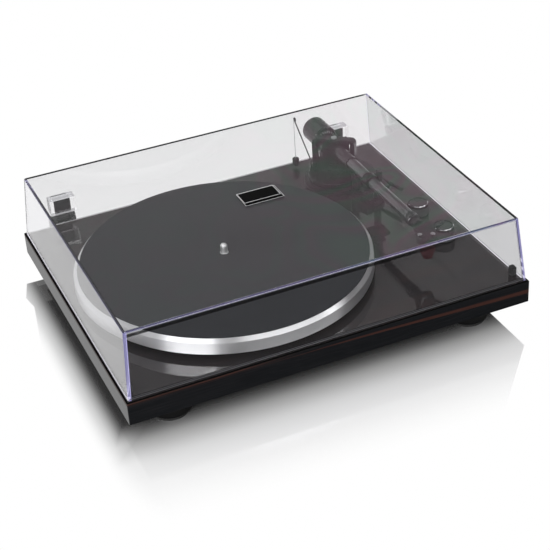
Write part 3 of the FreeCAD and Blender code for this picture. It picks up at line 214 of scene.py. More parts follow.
def make_group(name, inputs, outputs):
    """An empty shader group, from its inputs' labels and first values and its outputs' labels and kinds."""
    tree = bpy.data.node_groups.new(name, "ShaderNodeTree")
    for label, value in inputs:
        kind = "NodeSocketVector" if isinstance(value, tuple) else "NodeSocketFloat"
        socket = tree.interface.new_socket(label, in_out="INPUT", socket_type=kind)
        socket.default_value = value
    for label, kind in outputs:
        tree.interface.new_socket(label, in_out="OUTPUT", socket_type="NodeSocket" + kind)
    return tree, tree.nodes.new("NodeGroupInput"), tree.nodes.new("NodeGroupOutput")


def place_group(tree, group, **values):
    """The group placed in a material, with its own values."""
    made = tree.nodes.new("ShaderNodeGroup")
    made.node_tree = group
    for name, value in values.items():
        feed(tree, made.inputs[name], value)
    return made


# ---------------------------------------------------------------- shared effects

GRAIN_HEIGHT = 0.00004
PATCHES_PER_METRE = 45.0
LINE_HEIGHT = 0.00003


def finish_group(tree, given, out, height, depth, mask_name, mask):
    """Feeds a group's outputs: a gloss that swings with the mask, a bumped normal and the mask itself."""
    swing = times(tree, minus(tree, mask, 0.5), given.outputs["Spread"])
    feed(tree, out.inputs["Roughness"], plus(tree, given.outputs["Gloss"], swing))
    feed(tree, out.inputs["Normal"], bumped(tree, height, given.outputs["Depth"], depth))
    feed(tree, out.inputs[mask_name], mask)


def make_moulded_grain():
    """Fine pebbled skin and slow patches of gloss, as on moulded plastic and satin paint."""
    tree, given, out = make_group(
        "moulded_grain",
        [("Grain", 2500.0), ("Depth", 0.3), ("Gloss", 0.3), ("Spread", 0.08)],
        [("Roughness", "Float"), ("Normal", "Vector"), ("Patches", "Float")],
    )
    place = object_place(tree)
    grain = noise(tree, place, given.outputs["Grain"], detail=2.0)
    patches = noise(tree, place, PATCHES_PER_METRE, detail=4.0, roughness=0.6)
    finish_group(tree, given, out, grain, GRAIN_HEIGHT, "Patches", patches)
    return tree


def make_lathe_lines():
    """Fine turning lines round an upright axis through Centre."""
    tree, given, out = make_group(
        "lathe_lines",
        [("Centre", (0.0, 0.0, 0.0)), ("Pitch", 3500.0), ("Depth", 0.2), ("Gloss", 0.2), ("Spread", 0.1)],
        [("Roughness", "Float"), ("Normal", "Vector"), ("Lines", "Float")],
    )
    x, y, z = axes(tree, vector_maths(tree, "SUBTRACT", object_place(tree), given.outputs["Centre"]))
    radius = vector_maths(tree, "LENGTH", combined(tree, x, y, 0.0))
    lines = noise(tree, combined(tree, radius, z), given.outputs["Pitch"], roughness=0.7)
    finish_group(tree, given, out, lines, LINE_HEIGHT, "Lines", lines)
    return tree


def been_mirrored(tree, rays):
    """1 for a ray that a gloss has sent back on its way, even if it then went through glass."""
    soft = minus(tree, 1.0, rays.outputs["Is Diffuse Ray"])
    return times(tree, smallest(tree, rays.outputs["Glossy Depth"], 1.0), soft)


def seen_straight(tree, rays):
    """1 for a ray from the camera, bare or through glass."""
    straight = largest(tree, rays.outputs["Is Camera Ray"], rays.outputs["Is Transmission Ray"])
    return times(tree, straight, minus(tree, 1.0, been_mirrored(tree, rays)))


MOULDED_GRAIN = make_moulded_grain()
LATHE_LINES = make_lathe_lines()


# ---------------------------------------------------------------- materials


def new_material(name, **values):
    """A material with one Principled shader, its sockets set by name."""
    material = bpy.data.materials.new(name)
    material.use_nodes = True
    tree, shader = opened(material)
    for label, value in values.items():
        shader.inputs[label.replace("_", " ")].default_value = value
    return material, tree, shader


def opened(material):
    """A material's node tree and its Principled shader."""
    tree = material.node_tree
    return tree, tree.nodes["Principled BSDF"]


def skinned(material, effect, mask, colour, patch):
    """Gives a material an effect's gloss and normal, and a colour that varies by patch over its mask."""
    tree, shader = opened(material)
    darker = tuple(c * (1.0 - patch) for c in colour)
    lighter = tuple(c * (1.0 + patch) for c in colour)
    feed(tree, shader.inputs["Base Color"], mixed(tree, effect.outputs[mask], darker, lighter))
    feed(tree, shader.inputs["Roughness"], effect.outputs["Roughness"])
    feed(tree, shader.inputs["Normal"], effect.outputs["Normal"])
    return material


def grained(name, colour, gloss, grain=2500.0, depth=0.3, spread=0.08, patch=0.25, **values):
    """A moulded or painted finish: grain in the surface and slow patches in its colour."""
    material, tree, _shader = new_material(name, **values)
    effect = place_group(tree, MOULDED_GRAIN, Grain=grain, Depth=depth, Gloss=gloss, Spread=spread)
    return skinned(material, effect, "Patches", colour, patch)


def turned(name, colour, gloss, centre, pitch=3500.0, depth=0.2, spread=0.1, patch=0.1, **values):
    """A lathe-turned finish round the upright axis through centre."""
    material, tree, _shader = new_material(name, **values)
    effect = place_group(tree, LATHE_LINES, Centre=tuple(centre), Pitch=pitch, Depth=depth, Gloss=gloss,
                         Spread=spread)
    return skinned(material, effect, "Lines", colour, patch)


def middle(name):
    """The middle of a CAD piece's box."""
    low, high = (Vector(corner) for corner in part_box(name))
    return (low + high) / 2


def facing_share(tree, part):
    """1 on faces that look along an axis, by the normal's part along it."""
    return between(tree, part, 0.5, 0.9)


def swayed(tree, wander, reach):
    """A wandering shift to both sides, from a noise."""
    return times(tree, minus(tree, wander, 0.5), reach)


def streak_below(tree, z, top, drop, half):
    """1 inside a streak at drop below the top of the plinth, as wide as twice half."""
    off = maths(tree, "ABSOLUTE", minus(tree, minus(tree, top, drop), z))
    return fading(tree, maths(tree, "DIVIDE", off, half), 0.45, 1.15)


def side_streaks(tree, x, z, wander, top):
    """On the sides, one strong streak that falls and widens to the right, and a thin one at the left."""
    falling = plus(tree, swayed(tree, wander, 0.008), between(tree, x, -0.02, 0.24, 0.0040, 0.0115))
    half = between(tree, x, -0.08, 0.21, 0.0004, 0.0027)
    strong = times(tree, streak_below(tree, z, top, falling, half), between(tree, x, -0.10, 0.04, 0.3, 1.0))
    thin_drop, thin_half = 0.0013, 0.0009
    thin = times(tree, streak_below(tree, z, top, thin_drop, thin_half), fading(tree, x, -0.12, -0.02))
    return largest(tree, strong, thin)


def fibrous(tree, mask, fibre, share):
    """The mask, with a share of it broken up by the fibres."""
    return times(tree, mask, plus(tree, 1.0 - share, times(tree, fibre, share)))


def veneer_colour(tree, x, z, upward, wander, broad, fine, top):
    """Dark ground with fibres, wandering streaks all over and the streaks along the sides."""
    fibre = between(tree, fine, 0.35, 0.75)
    dark = mixed(tree, upward, (0.0055, 0.006, 0.0068), (0.020, 0.018, 0.019))
    light = mixed(tree, upward, (0.0095, 0.0095, 0.0105), (0.038, 0.033, 0.035))
    brown = mixed(tree, upward, (0.044, 0.0180, 0.0138), (0.048, 0.033, 0.031))
    threshold = mix_numbers(tree, upward, 0.62, 0.50)
    wandering = fibrous(tree, between(tree, minus(tree, broad, threshold), 0.0, 0.16), fibre, 0.65)
    sides = fibrous(tree, side_streaks(tree, x, z, wander, top), fibre, 0.45)
    sides = times(tree, sides, minus(tree, 1.0, upward))
    return mixed(tree, largest(tree, wandering, sides), mixed(tree, fibre, dark, light), brown)


def make_veneer():
    """Black-brown veneer with wandering red-brown streaks along X, under polished lacquer."""
    material, tree, shader = new_material(
        "veneer_lacquered", Roughness=0.5, Coat_Weight=1.0, Coat_Roughness=0.015, Coat_IOR=1.75,
        Specular_IOR_Level=0.0,
    )
    low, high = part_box("plinth")
    top = high[2]
    place = object_place(tree)
    x, y, z = axes(tree, place)
    wander = noise(tree, object_place(tree, (2.2, 9.0, 9.0)), 1.0, detail=4.0, roughness=0.55)
    drift = swayed(tree, wander, 0.03)
    shifted = vector_maths(tree, "ADD", place, combined(tree, 0.0, drift, drift))
    broad_place = vector_maths(tree, "MULTIPLY", shifted, (1.2, 75.0, 150.0))
    fine_place = vector_maths(tree, "MULTIPLY", shifted, (9.0, 900.0, 900.0))
    broad = noise(tree, broad_place, 1.0, detail=4.0, roughness=0.6)
    fine = noise(tree, fine_place, 1.0, roughness=0.6)
    sideways, endways, upright = axes(tree, vector_maths(tree, "ABSOLUTE", true_normal(tree)))
    upward = facing_share(tree, upright)
    veneered = veneer_colour(tree, x, z, upward, wander, broad, fine, top)
    # outside the cover's foot a narrow ledge of the top is painted near black as a shadow line, and left
    # unpolished
    side_ledge = times(tree, minus(tree, high[0], maths(tree, "ABSOLUTE", x)), 1.1)
    ledge = smallest(tree, side_ledge, minus(tree, y, low[1]))
    ledge_shadow = times(tree, fading(tree, ledge, 0.0019, 0.0023), between(tree, upright, 0.2, 0.5))
    feed(tree, shader.inputs["Base Color"], mixed(tree, ledge_shadow, veneered, (0.003, 0.003, 0.003)))
    feed(tree, shader.inputs["Normal"], bumped(tree, fine, 0.05, 0.00002))
    # the top is fully polished, the ends by half and less near the top edge, the front and back hardly
    satin_front = times(tree, facing_share(tree, endways), 0.92)
    satin_end = times(tree, facing_share(tree, sideways),
                      between(tree, z, top - 0.0046, top - 0.0014, 0.46, 0.80))
    unpolished = largest(tree, satin_front, satin_end, ledge_shadow)
    feed(tree, shader.inputs["Coat Weight"], minus(tree, 1.0, unpolished))
    return material


# ---------------------------------------------------------------- the clear cover

COVER_LOW, COVER_HIGH = (Vector(corner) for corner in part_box("dust_cover"))
# the cavity's front corners at the foot and just under its ceiling: half the width, Y and Z
CAVITY_FOOT = (COVER_HIGH.x - 0.00335, COVER_LOW.y + 0.00335, COVER_LOW.z + 0.0006)
CAVITY_TOP = (COVER_HIGH.x - 0.00895, COVER_LOW.y + 0.01185, COVER_HIGH.z - 0.0034)
# painted glow: the colours of faint bands that the top plate emits, in the pattern of moulding strain
STRAIN_GLOW_RED = (0.010, 0.0, 0.0045)
STRAIN_GLOW_GREEN = (0.0, 0.0075, 0.0025)
STRAIN_GLOW_NONE = (0.0005, 0.0005, 0.0005)
STRAIN_GLOW_BANDS = (
    (0.36, STRAIN_GLOW_RED), (0.40, STRAIN_GLOW_GREEN), (0.44, STRAIN_GLOW_RED), (0.48, STRAIN_GLOW_NONE),
    (0.52, STRAIN_GLOW_GREEN), (0.56, STRAIN_GLOW_RED), (0.61, STRAIN_GLOW_NONE), (0.66, STRAIN_GLOW_GREEN),
)


def banded(tree, value, ground, bands):
    """The colour of the band that value falls in, from (value, colour) pairs between two ends of ground."""
    made = node(tree, "ValToRGB")
    feed(tree, made.inputs[0], value)
    ramp = made.color_ramp
    for end in ramp.elements:
        end.color = (*ground, 1.0)
    for position, colour in bands:
        ramp.elements.new(position).color = (*colour, 1.0)
    return made.outputs[0]


def cover_faces(tree):
    """Where a point of the cover lies and which way it looks, in the cover's own frame, as it opens."""
    turned_back = node(tree, "VectorTransform", vector_type="NORMAL", convert_from="WORLD",
                       convert_to="OBJECT")
    feed(tree, turned_back.inputs[0], true_normal(tree))
    normal = turned_back.outputs[0]
    sideways, endways, upright = axes(tree, vector_maths(tree, "ABSOLUTE", normal))
    right, back, up = axes(tree, normal)
    x, y, z = axes(tree, object_place(tree))
    front_wall = times(tree, between(tree, back, -0.5, -0.9), between(tree, y, -0.10, -0.12))
    steepest = largest(tree, sideways, endways, upright)
    return SimpleNamespace(
        sideways=sideways, upright=upright, right=right, back=back, up=up, x=x, y=y, z=z,
        front_wall=front_wall, rounded=fading(tree, steepest, 0.965, 0.985),
        core=fading(tree, steepest, 0.86, 0.90),
    )


def painted_front_shade(tree, at):
    """Painted shade on the front wall: its foot painted as black as the painted shadow line of the ledge
    that it stands on, and a painted dark line under its top edge.
    """
    foot = fading(tree, at.z, COVER_LOW.z + 0.0024, COVER_LOW.z + 0.0028)
    brow = inside(tree, at.z, (COVER_HIGH.z - 0.0061, COVER_HIGH.z - 0.0057),
                  (COVER_HIGH.z - 0.0041, COVER_HIGH.z - 0.0038))
    brow = times(tree, brow, between(tree, at.x, 0.15, 0.08, 0.0, 0.97))
    return times(tree, at.front_wall, largest(tree, foot, brow))


def acrylic_tint(tree, at, dark):
    """The tint of the acrylic: nearly none on the top, painted shade that darkens the side walls and the
    right one more, near black where the front has painted shade, and a painted bluish tint where it is
    rounded, with the violet edge glow.
    """
    wall_shade = mixed(tree, between(tree, at.x, -0.02, 0.02), (0.875, 0.875, 0.893), (0.795, 0.795, 0.807))
    tint = mixed(tree, between(tree, at.sideways, 0.8, 0.95), (0.985, 0.985, 0.99), wall_shade)
    tint = mixed(tree, dark, tint, (0.01, 0.01, 0.01))
    return mixed(tree, at.rounded, tint, (0.88, 0.86, 0.98))


def painted_strain_glow(tree, upright):
    """Very faint red and green bands of painted glow, in the pattern of moulding strain, mostly on the right
    of the top plate.
    """
    place = object_place(tree)
    cloud = noise(tree, place, 9.0, detail=1.5, distortion=0.6)
    bands = banded(tree, cloud, BLACK, STRAIN_GLOW_BANDS)
    side = between(tree, axes(tree, place)[0], -0.06, 0.12, 0.15, 1.0)
    return mixed(tree, times(tree, side, between(tree, upright, 0.95, 0.99)), BLACK, bands)


def painted_edge_glow(tree, at):
    """The painted glow that stands in for the light the rounded edges pipe: violet at the front and sides,
    grey at the back, and the painted strain glow on the flats.
    """
    vertical = between(tree, at.upright, 0.55, 0.35)
    level = largest(tree, between(tree, at.back, 0.3, -0.5, 0.30, 1.0), vertical)
    top_side = times(tree, between(tree, at.sideways, 0.1, 0.3), between(tree, at.upright, 0.35, 0.55))
    shade = times(tree, top_side, between(tree, at.right, -0.1, 0.1, 0.4, 0.9))
    level = times(tree, level, minus(tree, 1.0, shade))
    pale = mixed(tree, vertical, (0.110, 0.105, 0.165), (0.40, 0.38, 0.56))
    deep = mixed(tree, vertical, (0.030, 0.027, 0.095), (0.075, 0.065, 0.22))
    violet = mixed(tree, at.core, pale, deep)
    violet = mixed(tree, between(tree, at.back, 0.1, 0.3), violet, (0.26, 0.26, 0.27))
    return mixed(tree, times(tree, at.rounded, level), painted_strain_glow(tree, at.upright), violet)


def past_cavity(tree, at):
    """1 in the side walls' own width, which narrows to the top as the cavity does."""
    lean = (CAVITY_FOOT[0] - CAVITY_TOP[0]) / (CAVITY_TOP[2] - CAVITY_FOOT[2])
    half = minus(tree, CAVITY_FOOT[0] + lean * CAVITY_FOOT[2], times(tree, at.z, lean))
    return between(tree, minus(tree, maths(tree, "ABSOLUTE", at.x), half), 0.0, 0.0003)


def painted_piped_glow(tree, at):
    """All the painted glow that stands in for the light the acrylic pipes to its edges, its foot and its
    hinge pockets.
    """
    end_on = times(tree, past_cavity(tree, at), at.front_wall)
    side_foot = times(tree, between(tree, at.right, -0.5, -0.9),
                      fading(tree, at.z, COVER_LOW.z + 0.0014, COVER_LOW.z + 0.0022))
    line = inside(tree, at.z, (COVER_LOW.z + 0.0009, COVER_LOW.z + 0.0011),
                  (COVER_LOW.z + 0.0017, COVER_LOW.z + 0.0019))
    line = times(tree, line, at.front_wall)
    pocket = times(tree, between(tree, at.up, 0.8, 0.9),
                   fading(tree, at.z, COVER_HIGH.z - 0.0105, COVER_HIGH.z - 0.0075),
                   between(tree, at.y, 0.12, 0.13))
    light = painted_edge_glow(tree, at)
    for mask, colour in ((end_on, (0.23, 0.22, 0.42)), (side_foot, (0.40, 0.395, 0.42)),
                         (line, (0.085, 0.083, 0.090)), (pocket, (0.30, 0.30, 0.31))):
        light = mixed(tree, mask, light, colour)
    return light


def make_clear_plastic():
    """Clear acrylic with painted light: its edges glow a violet that stands in for piped light, its flats
    show a faint painted strain glow, and its front has painted shade.
    """
    material, tree, shader = new_material(
        "acrylic_clear", Transmission_Weight=1.0, IOR=1.49, Roughness=0.0, Emission_Strength=1.0,
    )
    at = cover_faces(tree)
    # painted shade: the front wall's foot and a line under its top edge are tinted near black and reflect by
    # half
    dark = painted_front_shade(tree, at)
    feed(tree, shader.inputs["Base Color"], acrylic_tint(tree, at, dark))
    feed(tree, shader.inputs["Specular IOR Level"], minus(tree, 0.5, times(tree, dark, 0.5)))
    # painted light: the cover's edges, foot and hinge pockets glow by emission
    feed(tree, shader.inputs["Emission Color"], painted_piped_glow(tree, at))
    # lamps and matt light pass through it unbent
    rays = node(tree, "LightPath")
    clear = node(tree, "BsdfTransparent")
    clear.inputs[0].default_value = (0.93, 0.93, 0.94, 1.0)
    through = largest(tree, rays.outputs["Is Shadow Ray"], rays.outputs["Is Diffuse Ray"])
    chosen = mixed_shaders(tree, through, shader.outputs[0], clear.outputs[0])
    feed(tree, tree.nodes["Material Output"].inputs[0], chosen)
    return material


# ---------------------------------------------------------------- the other finishes


def make_mat():
    """The mat: close black felt with a short nap."""
    material, tree, shader = new_material(
        "mat_felt", Roughness=0.85, Specular_IOR_Level=0.12, Sheen_Weight=0.05, Sheen_Roughness=0.5,
    )
    place = object_place(tree)
    nap = noise(tree, place, 3800.0, roughness=0.7)
    cloud = noise(tree, place, 28.0, detail=4.0, roughness=0.6)
    speckle = plus(tree, times(tree, nap, 0.7), times(tree, cloud, 0.3))
    felt = mixed(tree, speckle, (0.014, 0.015, 0.017), (0.030, 0.031, 0.035))
    feed(tree, shader.inputs["Base Color"], felt)
    feed(tree, shader.inputs["Normal"], bumped(tree, nap, 0.35, 0.00006))
    return material


def make_platter_metal():
    """Turned and polished aluminium, whose fine lines spread its reflections up and down."""
    material = turned("platter_aluminium", (0.80, 0.80, 0.81), 0.30, middle("platter"), pitch=2600.0,
                      depth=0.25, patch=0.05, Metallic=1.0, Anisotropic=0.97, Anisotropic_Rotation=0.25)
    tree, shader = opened(material)
    tangent = node(tree, "Tangent", direction_type="RADIAL", axis="Z")
    feed(tree, shader.inputs["Tangent"], tangent.outputs[0])
    return material


def make_board():
    """Painted fibreboard."""
    material, tree, shader = new_material("fibreboard", Roughness=0.7)
    place = object_place(tree, (260.0, 900.0, 900.0))
    fibres = noise(tree, place, 1.0, detail=4.0, roughness=0.7, distortion=0.6)
    paint = mixed(tree, fibres, (0.020, 0.017, 0.014), (0.050, 0.042, 0.035))
    feed(tree, shader.inputs["Base Color"], paint)
    feed(tree, shader.inputs["Normal"], bumped(tree, fibres, 0.3, 0.0001))
    return material


def make_circuit_board():
    """Green solder mask over copper tracks."""
    material, tree, shader = new_material("solder_mask", Roughness=0.35)
    tracks = node(tree, "TexBrick")
    feed(tree, tracks.inputs["Vector"], object_place(tree))
    tracks.inputs["Scale"].default_value = 120.0
    tracks.inputs["Mortar Size"].default_value = 0.06
    mask = mixed(tree, tracks.outputs["Fac"], (0.02, 0.10, 0.04), (0.05, 0.22, 0.09))
    feed(tree, shader.inputs["Base Color"], mask)
    return material


def recoloured(material, change):
    """Puts what change makes of a material's colour in its place; change is given the tree and colour."""
    tree, shader = opened(material)
    plain = shader.inputs["Base Color"].links[0].from_socket
    feed(tree, shader.inputs["Base Color"], change(tree, plain))
    return material


DIAL_MARKS = 24
MARKS_FROM_RADIUS = 0.0083


def with_dial_marks(tree, black):
    """Light marks round the dial's rim, evenly spaced on its front face."""
    x, _y, z = axes(tree, vector_maths(tree, "SUBTRACT", object_place(tree), tuple(middle("force_dial"))))
    turn = times(tree, maths(tree, "ARCTAN2", z, x), DIAL_MARKS / (2.0 * math.pi))
    radius = vector_maths(tree, "LENGTH", combined(tree, x, 0.0, z))
    off = maths(tree, "ABSOLUTE", minus(tree, maths(tree, "FRACT", turn), 0.5))
    mark = times(tree, fading(tree, off, 0.07, 0.11),
                 between(tree, radius, MARKS_FROM_RADIUS - 0.0001, MARKS_FROM_RADIUS + 0.0001))
    return mixed(tree, mark, black, (0.45, 0.45, 0.45))


def with_flat_black_top(tree, bright):
    """Bright on a ring's bevel only, and black on its flat top."""
    up = axes(tree, true_normal(tree))[2]
    height = axes(tree, object_place(tree))[2]
    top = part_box("speed_knob_ring")[1][2]
    bevel = times(tree, inside(tree, up, (0.35, 0.5), (0.85, 0.95)),
                  between(tree, height, top - 0.0009, top - 0.0006))
    return mixed(tree, bevel, (0.035, 0.035, 0.036), bright)


def satin_black(name, gloss):
    """Black satin paint on metal."""
    return grained(name, (0.010, 0.010, 0.011), gloss, 3200.0, 0.10, Specular_IOR_Level=0.35)


def deep_black(name, gloss, depth):
    """A black that throws back very little."""
    return grained(name, (0.004, 0.004, 0.004), gloss, 2600.0, depth, Specular_IOR_Level=0.15)


def polished(name, gloss):
    """Bright plated metal."""
    return grained(name, (0.80, 0.80, 0.82), gloss, 900.0, 0.03, 0.04, 0.05, Metallic=1.0)


def make_materials():
    """One finish for each of the record's material slots."""
    return {
        "veneer": make_veneer(),
        "board": make_board(),
        "black_plastic": grained("plastic_black_satin", (0.016, 0.016, 0.017), 0.34, 2600.0, 0.25),
        "rubber": grained("rubber_black", (0.014, 0.014, 0.014), 0.75, 1800.0, 0.5),
        "steel": grained("steel_plain", (0.55, 0.55, 0.57), 0.30, 1500.0, 0.12, Metallic=1.0),
        "aluminium": grained("aluminium_plain", (0.75, 0.75, 0.77), 0.25, 1800.0, 0.12, Metallic=1.0),
        "felt": make_mat(),
        "chrome": polished("chrome_polished", 0.05),
        "black_metal": satin_black("metal_black_satin", 0.20),
        "clear_plastic": make_clear_plastic(),
        "red_plastic": grained("plastic_dark_red", (0.030, 0.0085, 0.0105), 0.12, 900.0, 0.05,
                               Coat_Weight=0.6, Coat_Roughness=0.03),
        "black_gloss": grained("plastic_black_gloss", (0.010, 0.010, 0.011), 0.10, 900.0, 0.04),
        "silver_grey": grained("tube_satin_grey", (0.115, 0.115, 0.118), 0.16, 2600.0, 0.08, Metallic=0.9),
        "brass": grained("brass_plated", (0.72, 0.53, 0.24), 0.20, 1200.0, 0.08, Metallic=1.0),
        "green_board": make_circuit_board(),
        "thread": grained("thread_nylon", (0.42, 0.42, 0.43), 0.35, 4000.0, 0.2),
    }


def make_own_finishes():
    """The finishes of the pieces that differ from their slot's."""
    knob = grained("knob_black_matt", (0.030, 0.030, 0.031), 0.45, 2600.0, 0.2)
    ring = recoloured(polished("ring_polished_bevel", 0.12), with_flat_black_top)
    return {
        "platter": make_platter_metal(),
        "anti_skate_weight": FINISHES["black_metal"],
        "anti_skate_wire": FINISHES["black_metal"],
        "tube_band": deep_black("band_black", 0.30, 0.1),
        "feet": deep_black("feet_black", 0.40, 0.2),
        "spindle": turned("spindle_ground", (0.78, 0.78, 0.78), 0.42, middle("spindle"), Metallic=1.0),
        "speed_knob": knob,
        "power_knob": knob,
        "force_dial": recoloured(satin_black("dial_black_marked", 0.25), with_dial_marks),
        "speed_knob_ring": ring,
        "power_knob_ring": ring,
    }


def dress(name, material):
    """Puts a finish on a CAD piece."""
    data = frame["nodes"][name].data
    if not data.materials:
        data.materials.append(material)
    for index in range(len(data.materials)):
        data.materials[index] = material


FINISHES = make_materials()
for part in frame["record"]["subparts"]:
    dress(part["node"], FINISHES[part["material_slot"]])
for name, finish in make_own_finishes().items():
    dress(name, finish)


# ---------------------------------------------------------------- new pieces


def select_only(*pieces):
    """Leaves object mode with only these pieces selected, the last of them active."""
    if bpy.context.object and bpy.context.object.mode != "OBJECT":
        bpy.ops.object.mode_set(mode="OBJECT")
    bpy.ops.object.select_all(action="DESELECT")
    for piece in pieces:
        piece.select_set(True)
        bpy.context.view_layer.objects.active = piece


def settle(piece, name, body, *materials):
    """Puts a finished piece's place in its mesh, names it and lets it ride on its body."""
    select_only(piece)
    bpy.ops.object.transform_apply(location=True, rotation=True, scale=True)
    piece.name = name
    piece.data.name = name
    for material in materials:
        piece.data.materials.append(material)
    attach(piece, body)


def add_block(start, end):
    """A block between two corners, with its place in its mesh, ready to be shaped in edit mode."""
    select_only()
    bpy.ops.mesh.primitive_cube_add(size=1.0, location=(start + end) / 2, scale=end - start)
    bpy.ops.object.transform_apply(location=True, rotation=False, scale=True)
    bpy.ops.object.mode_set(mode="EDIT")
    return bpy.context.object


def pick_faces(piece, wanted):
    """In edit mode, selects the faces whose middle and normal pass the test."""
    bpy.ops.object.mode_set(mode="OBJECT")
    for part in (piece.data.vertices, piece.data.edges, piece.data.polygons):
        for item in part:
            item.select = False
    for face in piece.data.polygons:
        face.select = wanted(face.center, face.normal)
    bpy.ops.object.mode_set(mode="EDIT")
    bpy.ops.mesh.select_mode(type="FACE")


def bevel_edges(piece, width, segments):
    """Rounds a piece's sharp edges for good."""
    bpy.ops.object.mode_set(mode="OBJECT")
    bevel = piece.modifiers.new("edges", "BEVEL")
    bevel.width = width
    bevel.segments = segments
    bevel.limit_method = "ANGLE"
    bpy.ops.object.modifier_apply(modifier=bevel.name)


def add_badge_plate(start, end, rim):
    """A plate with a rim round its sunken face, and whether each of its faces is black."""
    sink, lip, roundness = 0.0003, 0.0001, 0.0001
    plate = add_block(start, end)
    pick_faces(plate, lambda spot, normal: normal.z > 0.9)
    bpy.ops.mesh.inset(thickness=rim)
    bpy.ops.mesh.inset(thickness=lip, depth=-sink)
    bevel_edges(plate, roundness, 2)
    sunk = end.z - sink + lip
    return plate, [face.center.z < sunk or face.normal.z < 0.3 for face in plate.data.polygons]


def make_badge():
    """The bare badge: a black plate with a thin bright border, on a black foot with a bright rim."""
    low, high = (Vector(corner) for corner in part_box("badge_plate"))
    border = grained("badge_bright", (0.62, 0.62, 0.63), 0.30, 900.0, 0.03)
    face = grained("badge_black", (0.0018, 0.0018, 0.0020), 0.55, 2600.0, 0.1, Specular_IOR_Level=0.05)
    foot_left, foot_front, foot_right, foot_height = 0.0003, 0.0048, 0.0018, 0.0006
    badge, upper = add_badge_plate(low, high, rim=0.0006)
    foot, lower = add_badge_plate(
        Vector((low.x - foot_left, low.y - foot_front, low.z)),
        Vector((high.x + foot_right, high.y, low.z + foot_height)), rim=0.0004,
    )
    select_only(foot, badge)
    bpy.ops.object.join()
    settle(badge, "badge", "cover", border, face)
    for polygon, dark in zip(badge.data.polygons, upper + lower):
        polygon.material_index = 1 if dark else 0
    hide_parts("badge_plate")


def make_edge_highlight_beads():
    """The fine pale bead round the inside edges of the cover's front, thinner at its foot: a painted
    highlight for the light lines along those edges.
    """
    thickness, foot_share, foot_reach = 0.0004, 0.25, 0.001
    select_only()
    bpy.ops.mesh.primitive_plane_add(size=2.0, location=(0.0, 0.0, 0.0))
    highlight_bead = bpy.context.object
    for vertex in highlight_bead.data.vertices:
        half, front, level = CAVITY_TOP if vertex.co.y > 0 else CAVITY_FOOT
        vertex.co = (math.copysign(half, vertex.co.x), front, level)
    wire = highlight_bead.modifiers.new("highlight_bead", "WIREFRAME")
    wire.thickness = thickness
    wire.offset = 0.0
    wire.use_boundary = True
    wire.use_even_offset = True
    bpy.ops.object.modifier_apply(modifier=wire.name)
    _half, front, level = CAVITY_FOOT
    for vertex in highlight_bead.data.vertices:
        if vertex.co.z < level + foot_reach:
            vertex.co.y = front + (vertex.co.y - front) * foot_share
            vertex.co.z = level + (vertex.co.z - level) * foot_share
    highlight_bead.data.polygons.foreach_set("use_smooth", [False] * len(highlight_bead.data.polygons))
    # painted highlight: a pale strip put where the edges show a light line
    settle(highlight_bead, "cover_edge_highlight", "cover", grained("acrylic_highlight_bead", (0.215, 0.21, 0.25), 0.25, 900.0, 0.03))


def make_stylus_guard():
    """The red guard: a tapered nose with two cheeks, standing up over the cartridge's front."""
    width, thickness, cheek_depth, set_forward, toed_in = 0.0142, 0.0014, 0.0052, 0.0028, 22.0
    low, high = (Vector(corner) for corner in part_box("stylus_guard"))
    foot, brow, top = low.z, high.z - 0.0003, high.z + 0.0068
    waist = foot + 0.003
    cheek = width / 2 - thickness
    nose = Vector((width / 2, thickness / 2, 0.0))
    guard = add_block(Vector((0.0, -set_forward, foot)) - nose, Vector((0.0, -set_forward, top)) + nose)
    for place, normal in (((0, 0, brow), (0, 0, 1)), ((0, 0, waist), (0, 0, 1)),
                          ((cheek, 0, 0), (1, 0, 0)), ((-cheek, 0, 0), (1, 0, 0))):
        bpy.ops.mesh.select_all(action="SELECT")
        bpy.ops.mesh.bisect(plane_co=place, plane_no=normal)
    pick_faces(guard, lambda spot, normal: normal.y > 0.9 and abs(spot.x) > cheek and spot.z < brow)
    bpy.ops.mesh.extrude_region_move(TRANSFORM_OT_translate={"value": (0.0, cheek_depth, 0.0)})
    bpy.ops.object.mode_set(mode="OBJECT")
    for level, share in ((foot, 0.44), (waist, 0.74)):
        for vertex in guard.data.vertices:
            if abs(vertex.co.z - level) < 0.0002:
                vertex.co.x *= share
    bevel_edges(guard, 0.0004, 3)
    select_only(guard)
    bpy.ops.object.shade_smooth_by_angle(angle=math.radians(35.0))
    guard.rotation_euler = (0.0, 0.0, -math.radians(toed_in))
    guard.location = ((low.x + high.x) / 2, (low.y + high.y) / 2, 0.0)
    settle(guard, "stylus_guard_nose", "tonearm", FINISHES["red_plastic"])
    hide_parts("stylus_guard")


make_badge()
make_edge_highlight_beads()
make_stylus_guard()


# ---------------------------------------------------------------- studio

PLINTH_LOW, PLINTH_HIGH = (Vector(corner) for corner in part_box("plinth"))


def studio_glow(tree, x, y):
    """How bright the studio looks in the floor's mirror image, by place and by direction from the object."""
    aim = vector_maths(tree, "NORMALIZE", combined(tree, x, y, 0.0))
    left = vector_maths(tree, "DOT_PRODUCT", aim, LEFT_GLOW_AIM)
    lit = largest(tree, between(tree, left, 0.45, 0.75),
                  between(tree, x, PLINTH_LOW.x + 0.0025, PLINTH_LOW.x + 0.0005))
    past = largest(tree, minus(tree, x, PLINTH_HIGH.x), minus(tree, y, PLINTH_HIGH.y + 0.010))
    right = times(tree, between(tree, past, 0.02, 0.06),
                  between(tree, y, PLINTH_LOW.y + 0.010, PLINTH_LOW.y + 0.055))
    from_front = between(tree, axes(tree, aim)[1], -0.5, 0.6)
    glow = mixed(tree, from_front, (FRONT_FLOOR_GLOW,) * 3, (FLOOR_GLOW,) * 3)
    glow = mixed(tree, right, glow, (RIGHT_GLOW,) * 3)
    return mixed(tree, lit, glow, (LEFT_GLOW,) * 3)


